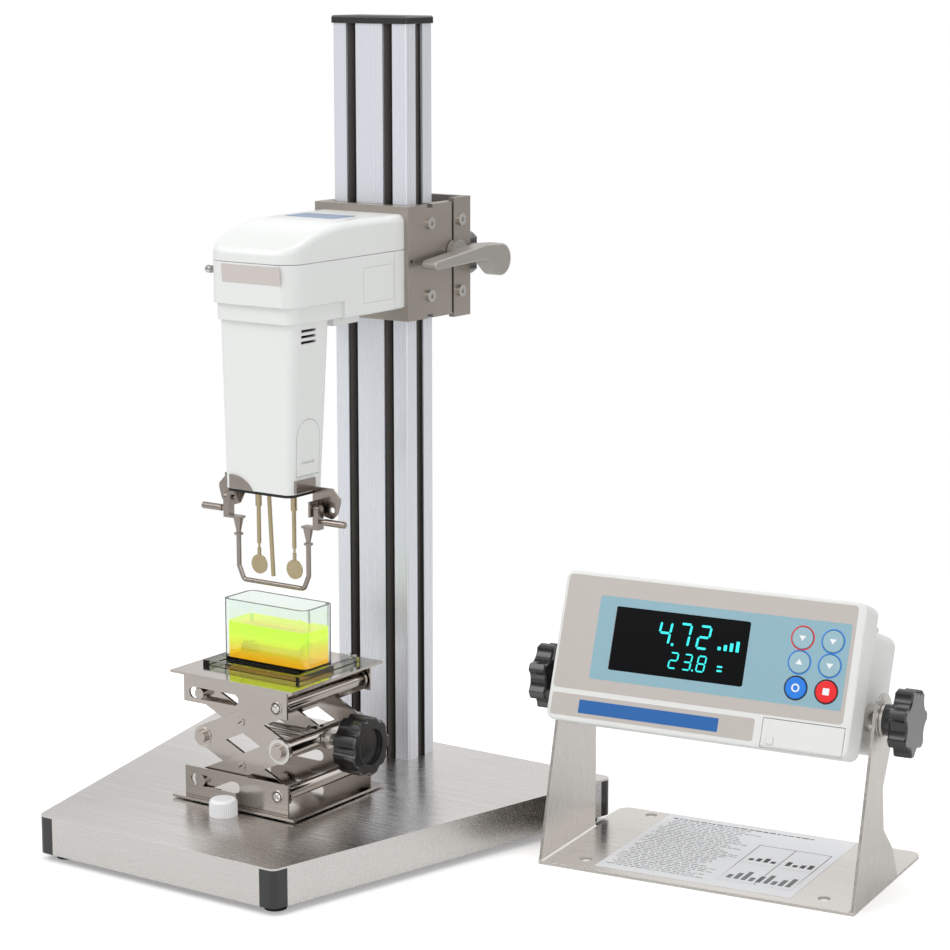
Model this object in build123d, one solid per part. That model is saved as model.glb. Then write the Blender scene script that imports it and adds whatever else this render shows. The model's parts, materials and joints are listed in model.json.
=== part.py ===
from build123d import *
import math
import os

# Vibrational viscometer: a measuring head on an extruded column, a scissor jack that
# carries the glass sample cell, and a display unit on its own tilting bracket.
# Millimetres. X runs along the front edge of the stand, Y to the back, Z up.
# Pieces are built about the middle of the stand's front edge and moved to the set's middle at the end.

# Stand base, a folded sheet tray
base_front_width = 193.0
base_back_width = 331.0
base_depth = 280.0
base_top_z = 30.4
base_skirt_z = 4.9
base_sheet = 1.2
base_corner_radius = 5.0
corner_block_reach = 11.0
corner_block_body = 24.0
corner_block_gap = 0.1
foot_inset = 18.0
foot_radius = 8.0
foot_tip_radius = 7.0

# Column, an aluminium extrusion with two cells
column_width = 60.0
column_depth = 30.0
column_front_y = 232.0
column_top_z = 531.0
column_back_margin = 18.0
slot_opening = 8.0
slot_inner_width = 16.5
slot_depth = 9.0
slot_lip = 2.0
slot_straight = 2.6
column_bore_radius = 3.4
column_edge_radius = 1.5
cap_height = 5.0
cap_overhang = 1.0
cap_peg_length = 8.0
anchor_width = 84.0
anchor_depth = 50.0
anchor_thickness = 5.0
anchor_head_radius = 6.0
anchor_head_height = 4.0
anchor_screw_reach = 22.0

# Carriage that slides on the column
carriage_half_width = 38.7
carriage_front_wall = 8.0
carriage_front_gap = 2.0
carriage_side_gap = 0.7
carriage_side_depth = 50.0
carriage_bottom_z = 336.5
carriage_top_z = 412.6
carriage_notch_width = 6.0
carriage_notch_depth = 2.5
tongue_thickness = 3.8
tongue_length = 15.0
rear_block_gap = 2.6
rear_block_depth = 19.4
rear_block_wall = 4.8
rear_block_rise = 2.4
liner_width = 7.5
liner_depth = 5.5
liner_end_margin = 4.0
carriage_screw_inset = 12.6
screw_shank_radius = 2.0
screw_hole_gap = 0.2
screw_head_radius = 4.0
screw_head_height = 2.5
screw_socket_radius = 1.8
screw_socket_depth = 1.5
slide_screw_y_offset = -1.2
rear_screw_setback = 6.9
pilot_hole_radius = 1.5
pilot_hole_depth = 4.0
pilot_hole_y = 226.0
pilot_hole_z = 376.2

# Clamp lever, its shaft and the brake pad behind the column
shaft_radius = 5.0
shaft_spigot_radius = 2.5
shaft_z = 379.0
shaft_column_gap = 11.5
running_clearance = 0.05
pad_thickness = 6.0
pad_column_gap = 0.3
pad_height = 28.0
lever_inner_x = 43.7
lever_outer_x = 56.0
lever_collar_radius = 8.0
lever_collar_gap = 0.4
lever_edge_radius = 1.4
lever_front_reach = 44.0
lever_front_drop = 5.0
lever_front_radius = 3.05
lever_elbow_reach = 17.0
lever_elbow_drop = 0.8
lever_elbow_radius = 5.2
lever_grip_reach = 34.0
lever_grip_drop = 7.5
lever_grip_radius = 11.0
lock_knob_radius = 16.6
lock_knob_thickness = 12.0
lock_knob_z = 370.5
lock_knob_back_y = 341.0
lock_boss_radius = 8.0
lock_boss_length = 14.0
lock_stud_radius = 4.0
lock_stud_inset = 12.0
lock_knob_lobes = 7
lock_knob_bite_radius = 6.0
lock_knob_bite_depth = 2.2
knob_edge = 1.0

# Measuring head
head_half_width = 35.5
head_front_y = 101.0
head_front_radius = 16.0
head_wall = 2.5
head_seam_z = 384.5
head_seam_gap = 0.3
head_top_z = 407.5
head_flat_front_y = 165.0
head_nose_z = 392.0
head_top_edge_radius = 5.0
head_step_z = 357.0
head_front_lean = 2.0
collar_half_width = 33.0
collar_front_y = 106.0
collar_corner_radius = 9.0
collar_bottom_z = 346.0
rear_belly_y = 157.0
rear_belly_z = 345.2
belly_pad_half_width = 24.0
belly_pad_depth = 28.0
belly_pad_drop = 5.7
board_post_height = 4.0
board_post_radius = 3.0
head_board_thickness = 1.6
head_board_half_width = 28.0
head_board_length = 54.0
head_chip_size = 14.0
head_chip_height = 1.6
head_plug_width = 10.0
head_plug_length = 28.0
head_plug_height = 4.0
capacitor_radius = 4.0
capacitor_height = 9.0
capacitor_x = -20.0
capacitor_setback = 16.0

# Sensor housing below the head
housing_top_half_width = 31.3
housing_top_front_y = 109.0
housing_top_back_y = 148.5
housing_bottom_z = 236.0
housing_bottom_half_width = 27.8
housing_bottom_front_y = 108.0
housing_bottom_back_y = 143.5
housing_corner_radius = 6.5
housing_wall = 2.2
housing_floor = 2.5
gasket_thickness = 2.0
gasket_inset = 0.8
vent_count = 3
vent_pitch = 3.7
vent_height = 1.8
vent_front_y = 117.0
vent_length = 15.0
vent_first_z = 342.1
side_cover_front_y = 113.7
side_cover_back_y = 137.6
side_cover_bottom_z = 247.0
side_cover_top_z = 284.0
side_cover_thickness = 1.2
side_cover_gap = 0.3
thumb_slot_length = 13.0
thumb_slot_height = 1.6
thumb_slot_z = 255.0

# Vibrating sensors and what drives them
sensor_x = 14.65
sensor_y = 128.0
disc_z = 182.9
disc_radius = 6.4
disc_thickness = 1.0
disc_stem_radius = 1.3
disc_stem_length = 4.4
neck_radius = 0.8
rod_radius = 1.4
rod_bottom_z = 197.0
sleeve_radius = 2.1
sleeve_bottom_z = 222.0
rod_clearance = 1.3
leaf_z = 292.0
leaf_thickness = 0.8
leaf_depth = 14.0
frame_half_width = 4.0
frame_half_depth = 9.0
frame_bottom_z = 262.0
frame_flange_thickness = 3.0
frame_flange_margin = 0.6
frame_foot_half_width = 8.0
frame_foot_height = 5.0
frame_yoke_height = 4.0
leaf_seat_height = 3.0
leaf_seat_overhang = 1.7
leaf_middle_gap = 0.1
leaf_waist_start = 6.0
coil_radius = 6.5
coil_height = 18.0
coil_gap = 0.9
coil_flange_overhang = 0.8
coil_flange_height = 1.5
pole_height = 1.0
pickup_height = 7.0
pickup_z = 279.0
pickup_gap = 0.5
pickup_half_depth = 3.0
probe_radius = 1.4
probe_tip_x = -3.1
probe_tip_z = 176.2
probe_lean = 0.051

# Sensor protector, which swings forward on two pins
protector_y = 124.5
protector_pivot_z = 226.0
bail_leg_x = 29.0
bail_rod_radius = 1.6
bail_bottom_z = 172.0
bail_bottom_half = 25.0
bail_bend_z = 181.0
bail_bend_radius = 3.0
bail_strip_z = 212.7
bail_strip_thickness = 1.5
bail_strip_inner_x = 25.5
bail_block_inner_x = 34.9
bail_block_outer_x = 39.3
bail_block_depth = 6.0
funnel_radius = 3.4
funnel_bottom_z = 204.0
bail_ring_radius = 3.0
bail_ring_thickness = 1.2
bail_ring_z = 201.6
pivot_pin_radius = 1.5
bracket_sheet = 1.5
bracket_ear_x = 33.0
bracket_ear_drop = 5.0
bracket_plate_y = 130.5
bracket_outer_x = 50.0
bracket_top_z = 239.0
bracket_bottom_z = 221.0
bracket_tab_height = 8.0
bracket_tab_gap = 0.3
bracket_tab_rise = 1.0
bracket_shoulder = 9.0
bracket_outer_cut = 6.0
bracket_tip_drop = 2.0
bracket_tip_width = 4.0
bracket_corner_round = 1.5
bracket_screw_hole = 2.0
bracket_tab_depth = 20.0
handle_radius = 2.25
handle_neck_radius = 1.3
handle_neck_length = 3.0
handle_outer_x = 59.0
handle_drop = 8.0
handle_chamfer = 0.4
apron_thickness = 1.0
apron_height = 9.0
apron_rise = 0.4
apron_left_inset = 6.0
apron_right_x = -3.0
apron_curve = (-9.0, 5.8)

# Scissor jack with two stages
jack_left_x = -49.5
jack_right_x = 51.5
jack_front_y = 77.0
jack_depth = 97.0
jack_sheet = 1.5
jack_pad_height = 1.0
jack_pad_radius = 5.0
jack_pad_inset = 9.0
jack_flange_setback = 3.5
jack_flange_left_x = -41.0
jack_flange_right_x = 44.4
jack_flange_height = 20.6
jack_top_flange_height = 18.5
jack_pivot_inset = 12.0
jack_fixed_x = 36.0
jack_arm_length = 70.0
jack_arm_width = 14.5
jack_arm_thickness = 2.0
jack_rest_angle = 24.8
jack_flange_arm_gap = 1.0
jack_layer_gap = 0.4
jack_slot_left_x = -36.5
jack_slot_right_x = 4.7
jack_slot_clearance = 0.15
slide_rod_radius = 3.6
fixed_rod_radius = 4.5
fixed_journal_radius = 3.5
fixed_head_radius = 4.2
fixed_head_height = 0.8
mid_rod_radius = 5.5
mid_journal_radius = 3.0
open_pivot_clearance = 0.3
mid_washer_radius = 6.0
mid_washer_thickness = 0.8
mid_head_radius = 4.2
mid_head_height = 2.8
rivet_radius = 2.5
rivet_head_radius = 3.2
rivet_head_height = 0.7
spindle_radius = 4.0
spindle_left_x = -42.0
spindle_collar_radius = 6.5
spindle_collar_length = 3.0
spindle_collar_gap = 0.3
jack_hub_x = 54.0
jack_hub_radius = 9.0
jack_knob_x = 60.0
jack_knob_thickness = 18.0
jack_knob_radius = 19.5
jack_knob_dish = 2.5
jack_knob_dish_radius = 12.1
jack_knob_lobes = 9
jack_knob_bite_radius = 5.0
jack_knob_bite_depth = 1.6

# Glass sample cell and its rails
cell_width = 70.0
cell_depth = 31.0
cell_height = 43.0
cell_wall = 2.4
cell_floor = 4.0
cell_corner_radius = 6.0
cell_y = 128.0
liquid_drop = 15.0
liquid_clearance = 0.02
rail_inner_x = 36.0
rail_width = 4.0
rail_height = 3.5
rail_front_y = 99.0
rail_back_y = 163.0
rail_bar_depth = 3.0
rail_peg_radius = 2.4
rail_peg_height = 2.6

# Loose screw cap standing on the base
loose_cap_radius = 9.2
loose_cap_height = 11.0
loose_cap_wall = 1.6
loose_cap_x = 2.0
loose_cap_y = 67.0
loose_cap_ribs = 36
loose_cap_rib_depth = 0.5
loose_cap_edge_radius = 1.8

# Display bracket, one folded sheet
display_side_gap = 106.5
display_y = 253.5
display_yaw = 7.0
bracket_width = 214.0
bracket_depth = 130.0
bracket_thickness = 2.0
bracket_corner_radius = 8.0
bracket_hole_radius = 4.0
bracket_hole_x = 81.5
bracket_hole_front_y = -47.5
bracket_hole_back_y = 56.0
bracket_bend_radius = 2.0
tilt_y = -19.0
tilt_z = 113.0
upright_top_radius = 16.0
upright_back_y = 17.0
upright_back_z = 80.0
waist_points = ((-5.0, 90.0), (-17.0, 68.0), (-13.0, 40.0), (4.0, 24.0))

# Display unit, in its own face frame: u to the right, v up the face, depth behind it
display_tilt = 20.0
face_half_width = 101.0
face_height = 96.0
face_corner_radius = 6.0
bezel_depth = 22.0
bezel_wall = 3.0
bezel_edge_radius = 1.5
face_to_pivot = 42.0
face_bottom_to_pivot = 30.0
shell_half_width = 97.0
shell_bottom_v = 8.0
shell_top_v = 84.0
shell_depth = 80.0
shell_wall = 2.5
shell_corner_radius = 7.0
shell_ridge_height = 5.5
shell_ridge_front = 26.0
shell_ridge_back = 59.0
tilt_boss_radius = 9.0
tilt_washer_gap = 0.25
window_left_u = -63.2
window_right_u = 28.0
window_bottom_v = 35.6
window_top_v = 76.3
window_recess = 0.6
window_thickness = 1.8
module_margin = 3.0
module_depth = 8.0
board_margin = 8.0
board_thickness = 1.6
transformer_size = 24.0
transformer_height = 20.0
transformer_u = -60.0
chip_size = 14.0
chip_height = 2.0
chip_places = (-10.0, 20.0)
board_part_v = 40.0
key_columns = (62.7, 82.4)
key_rows = (70.2, 55.2, 39.3)
key_radius = 6.7
key_gap = 0.3
key_proud = 0.8
key_cap_depth = 4.5
key_stem_radius = 2.5
key_travel = 1.2
key_flange_height = 0.9
key_flange_margin = 0.6
key_flange_gap = 0.1
key_switch_gap = 0.2
key_edge_radius = 0.5
door_left_u = 45.0
door_right_u = 97.6
door_height = 17.5
door_thickness = 2.4
door_gap = 0.35
door_well_depth = 3.2
door_bottom_v = 1.2
door_hinge_rise = 1.4
door_pin_radius = 0.8
door_pin_seat = 0.5
door_edge_cut = 1.0
door_lug_left = 3.5
door_lug_low = 2.0
door_lug_size = 4.5
door_lug_proud = 0.8
tilt_knob_radius = 21.6
tilt_knob_thickness = 12.0
tilt_knob_inner = 116.0
tilt_hub_radius = 10.0
tilt_knob_lobes = 7
tilt_knob_bite_radius = 9.0
tilt_knob_bite_depth = 4.2
tilt_stud_radius = 4.0
tilt_stud_hole_gap = 0.2
tilt_stud_reach = 12.0
tilt_washer_radius = 11.0
tilt_washer_thickness = 1.8
socket_radius = 7.0
socket_places = (-32.0, 34.0)
socket_panel_height = 26.0
shell_edge_radius = 6.0
socket_recess_depth = 1.0

# Places that several pieces share
column_mid_y = column_front_y + column_depth / 2
column_back_y = column_front_y + column_depth
base_back_y = column_back_y + column_back_margin
base_front_y = base_back_y - base_depth
column_cell = column_width / 4
carriage_front_y = column_front_y - carriage_front_gap - carriage_front_wall
carriage_inner_x = column_width / 2 + carriage_side_gap
carriage_side_back_y = carriage_front_y + carriage_side_depth
tongue_back_y = carriage_side_back_y + tongue_length
rear_block_y = carriage_side_back_y + rear_block_gap
rear_block_back_y = rear_block_y + rear_block_depth
shaft_y = column_back_y + shaft_column_gap
screw_low_z = carriage_bottom_z + carriage_screw_inset + rear_block_rise
screw_high_z = carriage_top_z - carriage_screw_inset
slide_screw_y = column_mid_y + slide_screw_y_offset
rear_screw_y = rear_block_y + rear_screw_setback
jack_mid_y = jack_front_y + jack_depth / 2
jack_plate_z = base_top_z + jack_pad_height
jack_low_z = jack_plate_z + jack_sheet + jack_pivot_inset
jack_run = jack_arm_length * math.cos(math.radians(jack_rest_angle))
jack_rise = jack_arm_length * math.sin(math.radians(jack_rest_angle))
jack_slide_x = jack_fixed_x - jack_run
jack_mid_z = jack_low_z + jack_rise
jack_high_z = jack_mid_z + jack_rise
jack_top_z = jack_high_z + jack_pivot_inset
jack_flange_y = jack_front_y + jack_flange_setback
jack_outer_layer_y = jack_flange_y + jack_sheet + jack_flange_arm_gap
jack_inner_layer_y = jack_outer_layer_y + jack_arm_thickness + jack_layer_gap
jack_core_y = jack_inner_layer_y + jack_arm_thickness + jack_layer_gap
cell_bottom_z = jack_top_z + jack_sheet
gasket_z = housing_bottom_z - gasket_thickness
door_hinge = (door_bottom_v + door_hinge_rise, -door_thickness / 2)
upright_inner_x = bracket_width / 2 - bracket_thickness
set_left_x = -base_back_width / 2
display_x = base_back_width / 2 + display_side_gap
knob_reach_x = tilt_knob_inner + tilt_knob_thickness
knob_reach_y = tilt_knob_radius - tilt_y
yaw_angle = math.radians(display_yaw)
set_right_x = display_x + knob_reach_x * math.cos(yaw_angle) + knob_reach_y * math.sin(yaw_angle)
set_middle = Pos(-(set_left_x + set_right_x) / 2, -(base_front_y + lock_knob_back_y) / 2, 0)


def block(x_low, x_high, y_low, y_high, z_low, z_high):
    """A box from its two corners."""
    size = (x_high - x_low, y_high - y_low, z_high - z_low)
    return Pos((x_low + x_high) / 2, (y_low + y_high) / 2, (z_low + z_high) / 2) * Box(*size)


def rod_along(axis, start, end, across, radius):
    """A round bar along X, Y or Z; across holds its other two coordinates in X, Y, Z order."""
    length = end - start
    if axis == "x":
        plane = Plane(origin=(start, across[0], across[1]), x_dir=(0, 1, 0), z_dir=(1, 0, 0))
    elif axis == "y":
        plane = Plane(origin=(across[0], start, across[1]), x_dir=(1, 0, 0), z_dir=(0, 1, 0))
    else:
        plane = Plane(origin=(across[0], across[1], start))
    return extrude(plane * Circle(radius), length)


def side_profile(face, x_low, x_high):
    """A sketch drawn in Y and Z, made solid from x_low to x_high."""
    plane = Plane(origin=(x_low, 0, 0), x_dir=(0, 1, 0), z_dir=(1, 0, 0))
    return extrude(plane * face, x_high - x_low, dir=(1, 0, 0))


def front_profile(face, y_low, y_high):
    """A sketch drawn in X and Z, made solid from y_low to y_high."""
    plane = Plane(origin=(0, y_high, 0), x_dir=(1, 0, 0), z_dir=(0, -1, 0))
    return extrude(plane * face, y_high - y_low, dir=(0, -1, 0))


def plan_profile(face, z_low, z_high):
    """A sketch drawn in X and Y, made solid from z_low to z_high."""
    return extrude(Pos(0, 0, z_low) * face, z_high - z_low, dir=(0, 0, 1))


def rounded_plan(half_width, front_y, back_y, radius):
    """A rectangle with round corners, centred on X."""
    middle = (front_y + back_y) / 2
    return Pos(0, middle) * RectangleRounded(half_width * 2, back_y - front_y, radius)


def mirrored(shape):
    """A piece and its mirror image about the middle of the stand."""
    return [shape, mirror(shape, Plane.YZ)]


def lobed_disc(radius, lobes, bite_radius, bite_depth):
    """A grip outline: a circle with round bites taken out between its lobes."""
    outline = Circle(radius)
    reach = radius + bite_radius - bite_depth
    for index in range(lobes):
        turn = math.radians(360 * (index + 0.5) / lobes)
        outline -= Pos(reach * math.cos(turn), reach * math.sin(turn)) * Circle(bite_radius)
    return outline


def socket_screw(shank_length):
    """A cap screw along Z with its head's seat at zero and its shank below."""
    screw = Pos(0, 0, screw_head_height / 2) * Cylinder(screw_head_radius, screw_head_height)
    screw += Pos(0, 0, -shank_length / 2) * Cylinder(screw_shank_radius, shank_length)
    socket = RegularPolygon(screw_socket_radius, 6)
    return screw - extrude(Pos(0, 0, screw_head_height) * socket, -screw_socket_depth)


def base_corners():
    """The four corners of the tray's top, in order round it."""
    front = base_front_width / 2
    back = base_back_width / 2
    return [(-front, base_front_y), (front, base_front_y), (back, base_back_y), (-back, base_back_y)]


def base_outline():
    """The tray's plan, wider at the back, with its corners rounded."""
    outline = Polygon(*base_corners(), align=None)
    return fillet(outline.vertices(), base_corner_radius)


def foot_places():
    """Where the feet stand: in from each corner, towards the tray's middle."""
    places = []
    for corner_x, corner_y in base_corners():
        to_middle = Vector(-corner_x, base_back_y - base_depth / 2 - corner_y).normalized() * foot_inset
        places.append((corner_x + to_middle.X, corner_y + to_middle.Y))
    return places


def make_base_tray():
    """The folded tray, open below, with its skirt cut back at the corners."""
    outline = base_outline()
    tray = plan_profile(outline, base_skirt_z, base_top_z)
    tray -= plan_profile(offset(outline, -base_sheet), base_skirt_z, base_top_z - base_sheet)
    for corner in base_corners():
        tray -= rod_along("z", base_skirt_z, base_top_z - base_sheet, corner, corner_block_reach)
    for side in (-1, 1):
        centre = (side * column_cell, column_mid_y)
        tray -= rod_along("z", base_top_z - base_sheet, base_top_z, centre, column_bore_radius)
    return tray


def make_base_corner_blocks():
    """Moulded corner pieces: a nose in the skirt's gap and a body that holds the foot."""
    outline = base_outline()
    top = base_top_z - base_sheet
    outer = plan_profile(outline, base_skirt_z, top)
    inner = plan_profile(offset(outline, -base_sheet), base_skirt_z, top)
    blocks = []
    for corner in base_corners():
        nose_radius = corner_block_reach - corner_block_gap
        nose = outer & rod_along("z", base_skirt_z, top, corner, nose_radius)
        body = inner & rod_along("z", base_skirt_z, top, corner, corner_block_body)
        blocks.append(nose + body)
    return blocks


def make_base_feet():
    """Round rubber feet, a little narrower where they stand."""
    feet = []
    for foot_x, foot_y in foot_places():
        foot = Cone(foot_tip_radius, foot_radius, base_skirt_z)
        feet.append(Pos(foot_x, foot_y, base_skirt_z / 2) * foot)
    return feet


def slot_sketch():
    """One T-slot, opening upwards at the origin and running down into the section."""
    lip = Pos(0, -slot_lip / 2) * Rectangle(slot_opening, slot_lip)
    shoulder = slot_lip + slot_straight
    half = slot_inner_width / 2
    throat = slot_opening / 2
    chamber = Polygon(
        (-half, -slot_lip), (half, -slot_lip), (half, -shoulder),
        (throat, -slot_depth), (-throat, -slot_depth), (-half, -shoulder), align=None)
    return lip + chamber


def make_column():
    """The extrusion: two slots in front, two behind, one in each side, and two core bores."""
    section = RectangleRounded(column_width, column_depth, column_edge_radius)
    slot = slot_sketch()
    for side in (-1, 1):
        section -= Pos(side * column_cell, column_depth / 2) * slot
        section -= Pos(side * column_cell, -column_depth / 2) * Rot(0, 0, 180) * slot
        section -= Pos(side * column_width / 2, 0) * Rot(0, 0, -90 * side) * slot
        section -= Pos(side * column_cell, 0) * Circle(column_bore_radius)
    return plan_profile(Pos(0, column_mid_y) * section, base_top_z, column_top_z)


def make_column_cap():
    """The moulded end cap, pressed into the core bores by two pegs."""
    half_width = column_width / 2 + cap_overhang
    front = column_front_y - cap_overhang
    back = column_back_y + cap_overhang
    cap = block(-half_width, half_width, front, back, column_top_z, column_top_z + cap_height)
    cap = fillet(cap.edges().filter_by(Axis.Z), column_edge_radius)
    cap = chamfer(cap.faces().sort_by(Axis.Z)[-1].edges(), cap_overhang)
    for side in (-1, 1):
        centre = (side * column_cell, column_mid_y)
        cap += rod_along("z", column_top_z - cap_peg_length, column_top_z, centre, column_bore_radius)
    return cap


def make_column_anchor():
    """The steel plate under the tray and the two screws that pull the column down on it."""
    top = base_top_z - base_sheet
    bottom = top - anchor_thickness
    half_depth = anchor_depth / 2
    plate = block(-anchor_width / 2, anchor_width / 2,
                  column_mid_y - half_depth, column_mid_y + half_depth, bottom, top)
    screws = []
    for side in (-1, 1):
        centre = (side * column_cell, column_mid_y)
        plate -= rod_along("z", bottom, top, centre, column_bore_radius)
        head = rod_along("z", bottom - anchor_head_height, bottom, centre, anchor_head_radius)
        shank = rod_along("z", bottom, bottom + anchor_screw_reach, centre, column_bore_radius)
        screws.append(head + shank)
    return [plate] + screws


def carriage_screw_places():
    """Each side screw's Y and Z, with how far its shank goes in."""
    liner_reach = carriage_half_width - column_width / 2 + liner_depth / 2
    tongue_reach = carriage_half_width - carriage_inner_x
    places = []
    for height in (screw_low_z, screw_high_z):
        places.append((slide_screw_y, height, liner_reach))
        places.append((rear_screw_y, height, tongue_reach))
    return places


def make_carriage():
    """The machined U that clasps the column, with tongues that enter the rear block."""
    wide = carriage_half_width
    inner = carriage_inner_x
    back = carriage_side_back_y
    body = block(-wide, wide, carriage_front_y, back, carriage_bottom_z, carriage_top_z)
    for side in (-1, 1):
        low, high = sorted((side * inner, side * (inner + tongue_thickness)))
        body += block(low, high, back, tongue_back_y, carriage_bottom_z, carriage_top_z)
    gap_front = carriage_front_y + carriage_front_wall
    body -= block(-inner, inner, gap_front, tongue_back_y, carriage_bottom_z, carriage_top_z)
    half_notch = carriage_notch_width / 2
    for low, high in ((carriage_bottom_z, carriage_bottom_z + carriage_notch_depth),
                      (carriage_top_z - carriage_notch_depth, carriage_top_z)):
        body -= block(-wide, wide, column_mid_y - half_notch, column_mid_y + half_notch, low, high)
    body -= rod_along("x", -wide, wide, (shaft_y, shaft_z), shaft_radius + running_clearance)
    for screw_y, screw_z, reach in carriage_screw_places():
        body -= rod_along("x", -wide, wide, (screw_y, screw_z), screw_shank_radius + screw_hole_gap)
    start = wide - pilot_hole_depth
    return body - rod_along("x", start, wide, (pilot_hole_y, pilot_hole_z), pilot_hole_radius)


def make_carriage_rear_block():
    """The channel that closes the carriage behind the column, with the lock knob's boss."""
    wide = carriage_half_width
    low = carriage_bottom_z - rear_block_rise
    high = carriage_top_z + rear_block_rise
    channel = block(-wide, wide, rear_block_y, rear_block_back_y, low, high)
    pocket = carriage_inner_x + tongue_thickness
    wall_front = rear_block_back_y - rear_block_wall
    channel -= block(-pocket, pocket, rear_block_y, wall_front, low, high)
    centre = (0, lock_knob_z)
    channel += rod_along("y", wall_front, rear_block_back_y + lock_boss_length, centre, lock_boss_radius)
    hole = lock_stud_radius + running_clearance
    channel -= rod_along("y", wall_front, rear_block_back_y + lock_boss_length, centre, hole)
    channel -= rod_along("x", -wide, wide, (shaft_y, shaft_z), shaft_radius + running_clearance)
    for height in (screw_low_z, screw_high_z):
        hole = screw_shank_radius + screw_hole_gap
        channel -= rod_along("x", -wide, wide, (rear_screw_y, height), hole)
    return channel


def make_carriage_screws():
    """Eight cap screws, four in each side of the carriage."""
    screws = []
    for screw_y, screw_z, reach in carriage_screw_places():
        screw = Plane(origin=(carriage_half_width, screw_y, screw_z), z_dir=(1, 0, 0)) * socket_screw(reach)
        screws += mirrored(screw)
    return screws


def make_carriage_liners():
    """Plastic keys on the carriage that run in the column's side slots."""
    outer = carriage_inner_x
    low = carriage_bottom_z + liner_end_margin
    high = carriage_top_z - liner_end_margin
    half = liner_width / 2
    liner = block(outer - liner_depth, outer, column_mid_y - half, column_mid_y + half, low, high)
    for height in (screw_low_z, screw_high_z):
        liner -= rod_along("x", outer - liner_depth, outer, (slide_screw_y, height), screw_shank_radius)
    return mirrored(liner)


def make_brake_pad():
    """The pad that the clamp shaft presses on the column's back."""
    front = column_back_y + pad_column_gap
    half = pad_height / 2
    pad = block(-carriage_inner_x, carriage_inner_x, front, front + pad_thickness,
                shaft_z - half, shaft_z + half)
    return chamfer(pad.edges().filter_by(Axis.X), pad_column_gap)


def lever_outline():
    """The cast lever seen from the side: a slim front end, an arm, an elbow and a round grip."""
    tip = Pos(shaft_y - lever_front_reach + lever_front_radius, shaft_z - lever_front_drop)
    elbow = Pos(shaft_y + lever_elbow_reach, shaft_z - lever_elbow_drop)
    grip = Pos(shaft_y + lever_grip_reach, shaft_z - lever_grip_drop)
    tip_edges = (tip * Circle(lever_front_radius)).edges()
    elbow_edges = (elbow * Circle(lever_elbow_radius)).edges()
    grip_edges = (grip * Circle(lever_grip_radius)).edges()
    outline = make_hull([*tip_edges, *elbow_edges]) + make_hull([*elbow_edges, *grip_edges])
    below_elbow = outline.vertices().sort_by_distance(
        (shaft_y + lever_elbow_reach, shaft_z - lever_elbow_drop - lever_elbow_radius))[0]
    return fillet(below_elbow, lever_front_radius)


def make_clamp_lever():
    """The cast lever with its collar, bored for the shaft."""
    lever = side_profile(lever_outline(), lever_inner_x, lever_outer_x)
    ends = lever.faces().filter_by(Axis.X)
    lever = fillet([edge for face in ends for edge in face.edges()], lever_edge_radius)
    start = carriage_half_width + lever_collar_gap
    centre = (shaft_y, shaft_z)
    lever += rod_along("x", start, lever_inner_x + lever_edge_radius, centre, lever_collar_radius)
    middle = (lever_inner_x + lever_outer_x) / 2
    lever -= rod_along("x", start, lever_inner_x, centre, shaft_radius)
    return lever - rod_along("x", lever_inner_x, middle, centre, shaft_spigot_radius)


def make_lever_shaft():
    """The clamp shaft, through both sides of the carriage and into the lever."""
    middle = (lever_inner_x + lever_outer_x) / 2
    centre = (shaft_y, shaft_z)
    shaft = rod_along("x", -carriage_half_width, lever_inner_x, centre, shaft_radius)
    return shaft + rod_along("x", lever_inner_x, middle, centre, shaft_spigot_radius)


def make_lock_knob():
    """The lobed knob behind the column, moulded on a steel stud."""
    front = lock_knob_back_y - lock_knob_thickness
    centre = (0, lock_knob_z)
    outline = lobed_disc(lock_knob_radius, lock_knob_lobes, lock_knob_bite_radius, lock_knob_bite_depth)
    grip = front_profile(Pos(0, lock_knob_z) * outline, front, lock_knob_back_y)
    ends = grip.faces().filter_by(Axis.Y)
    grip = chamfer([edge for face in ends for edge in face.edges()], knob_edge)
    boss_end = rear_block_back_y + lock_boss_length
    hub = rod_along("y", boss_end + lever_collar_gap, front, centre, lock_boss_radius)
    tip = rear_block_back_y - lock_stud_inset
    return grip + hub + rod_along("y", tip, front, centre, lock_stud_radius)


def head_plan(inset):
    """The head's plan with two large front corners, drawn in by inset."""
    wide = head_half_width - inset
    front = head_front_y + inset
    back = carriage_front_y - inset
    outline = Polygon((-wide, front), (wide, front), (wide, back), (-wide, back), align=None)
    front_corners = outline.vertices().group_by(Axis.Y)[0]
    return fillet(front_corners, head_front_radius - inset)


def top_cover_form(inset):
    """The cover's outer or inner form: a flat top that rolls down to the nose."""
    back = carriage_front_y - inset
    top = head_top_z - inset
    front = head_front_y + inset
    nose = (front, head_nose_z - inset)
    crown = TangentArc((head_flat_front_y, top), nose, tangent=(-1, 0))
    lines = [Line((back, top), (head_flat_front_y, top)), crown,
             Line(nose, (front, head_seam_z)), Line((front, head_seam_z), (back, head_seam_z)),
             Line((back, head_seam_z), (back, top))]
    side = side_profile(make_face(lines), -head_half_width, head_half_width)
    return side & plan_profile(head_plan(inset), head_seam_z, head_top_z)


def on_cover_rim(edge):
    """Whether an edge runs round the cover's top, not down its corners, along its back or across it."""
    middle = edge @ 0.5
    upright = abs((edge % 0.5).Z) > 0.9
    across = abs(middle.X) < head_wall and middle.Y > head_flat_front_y - head_wall
    return middle.Z > head_nose_z - head_wall and not upright and not across


def make_head_top_cover():
    """The moulded top cover, hollow, with a soft edge all round its top."""
    cover = top_cover_form(0)
    rim = [edge for edge in cover.edges() if on_cover_rim(edge)]
    return fillet(rim, head_top_edge_radius) - top_cover_form(head_wall)


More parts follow.
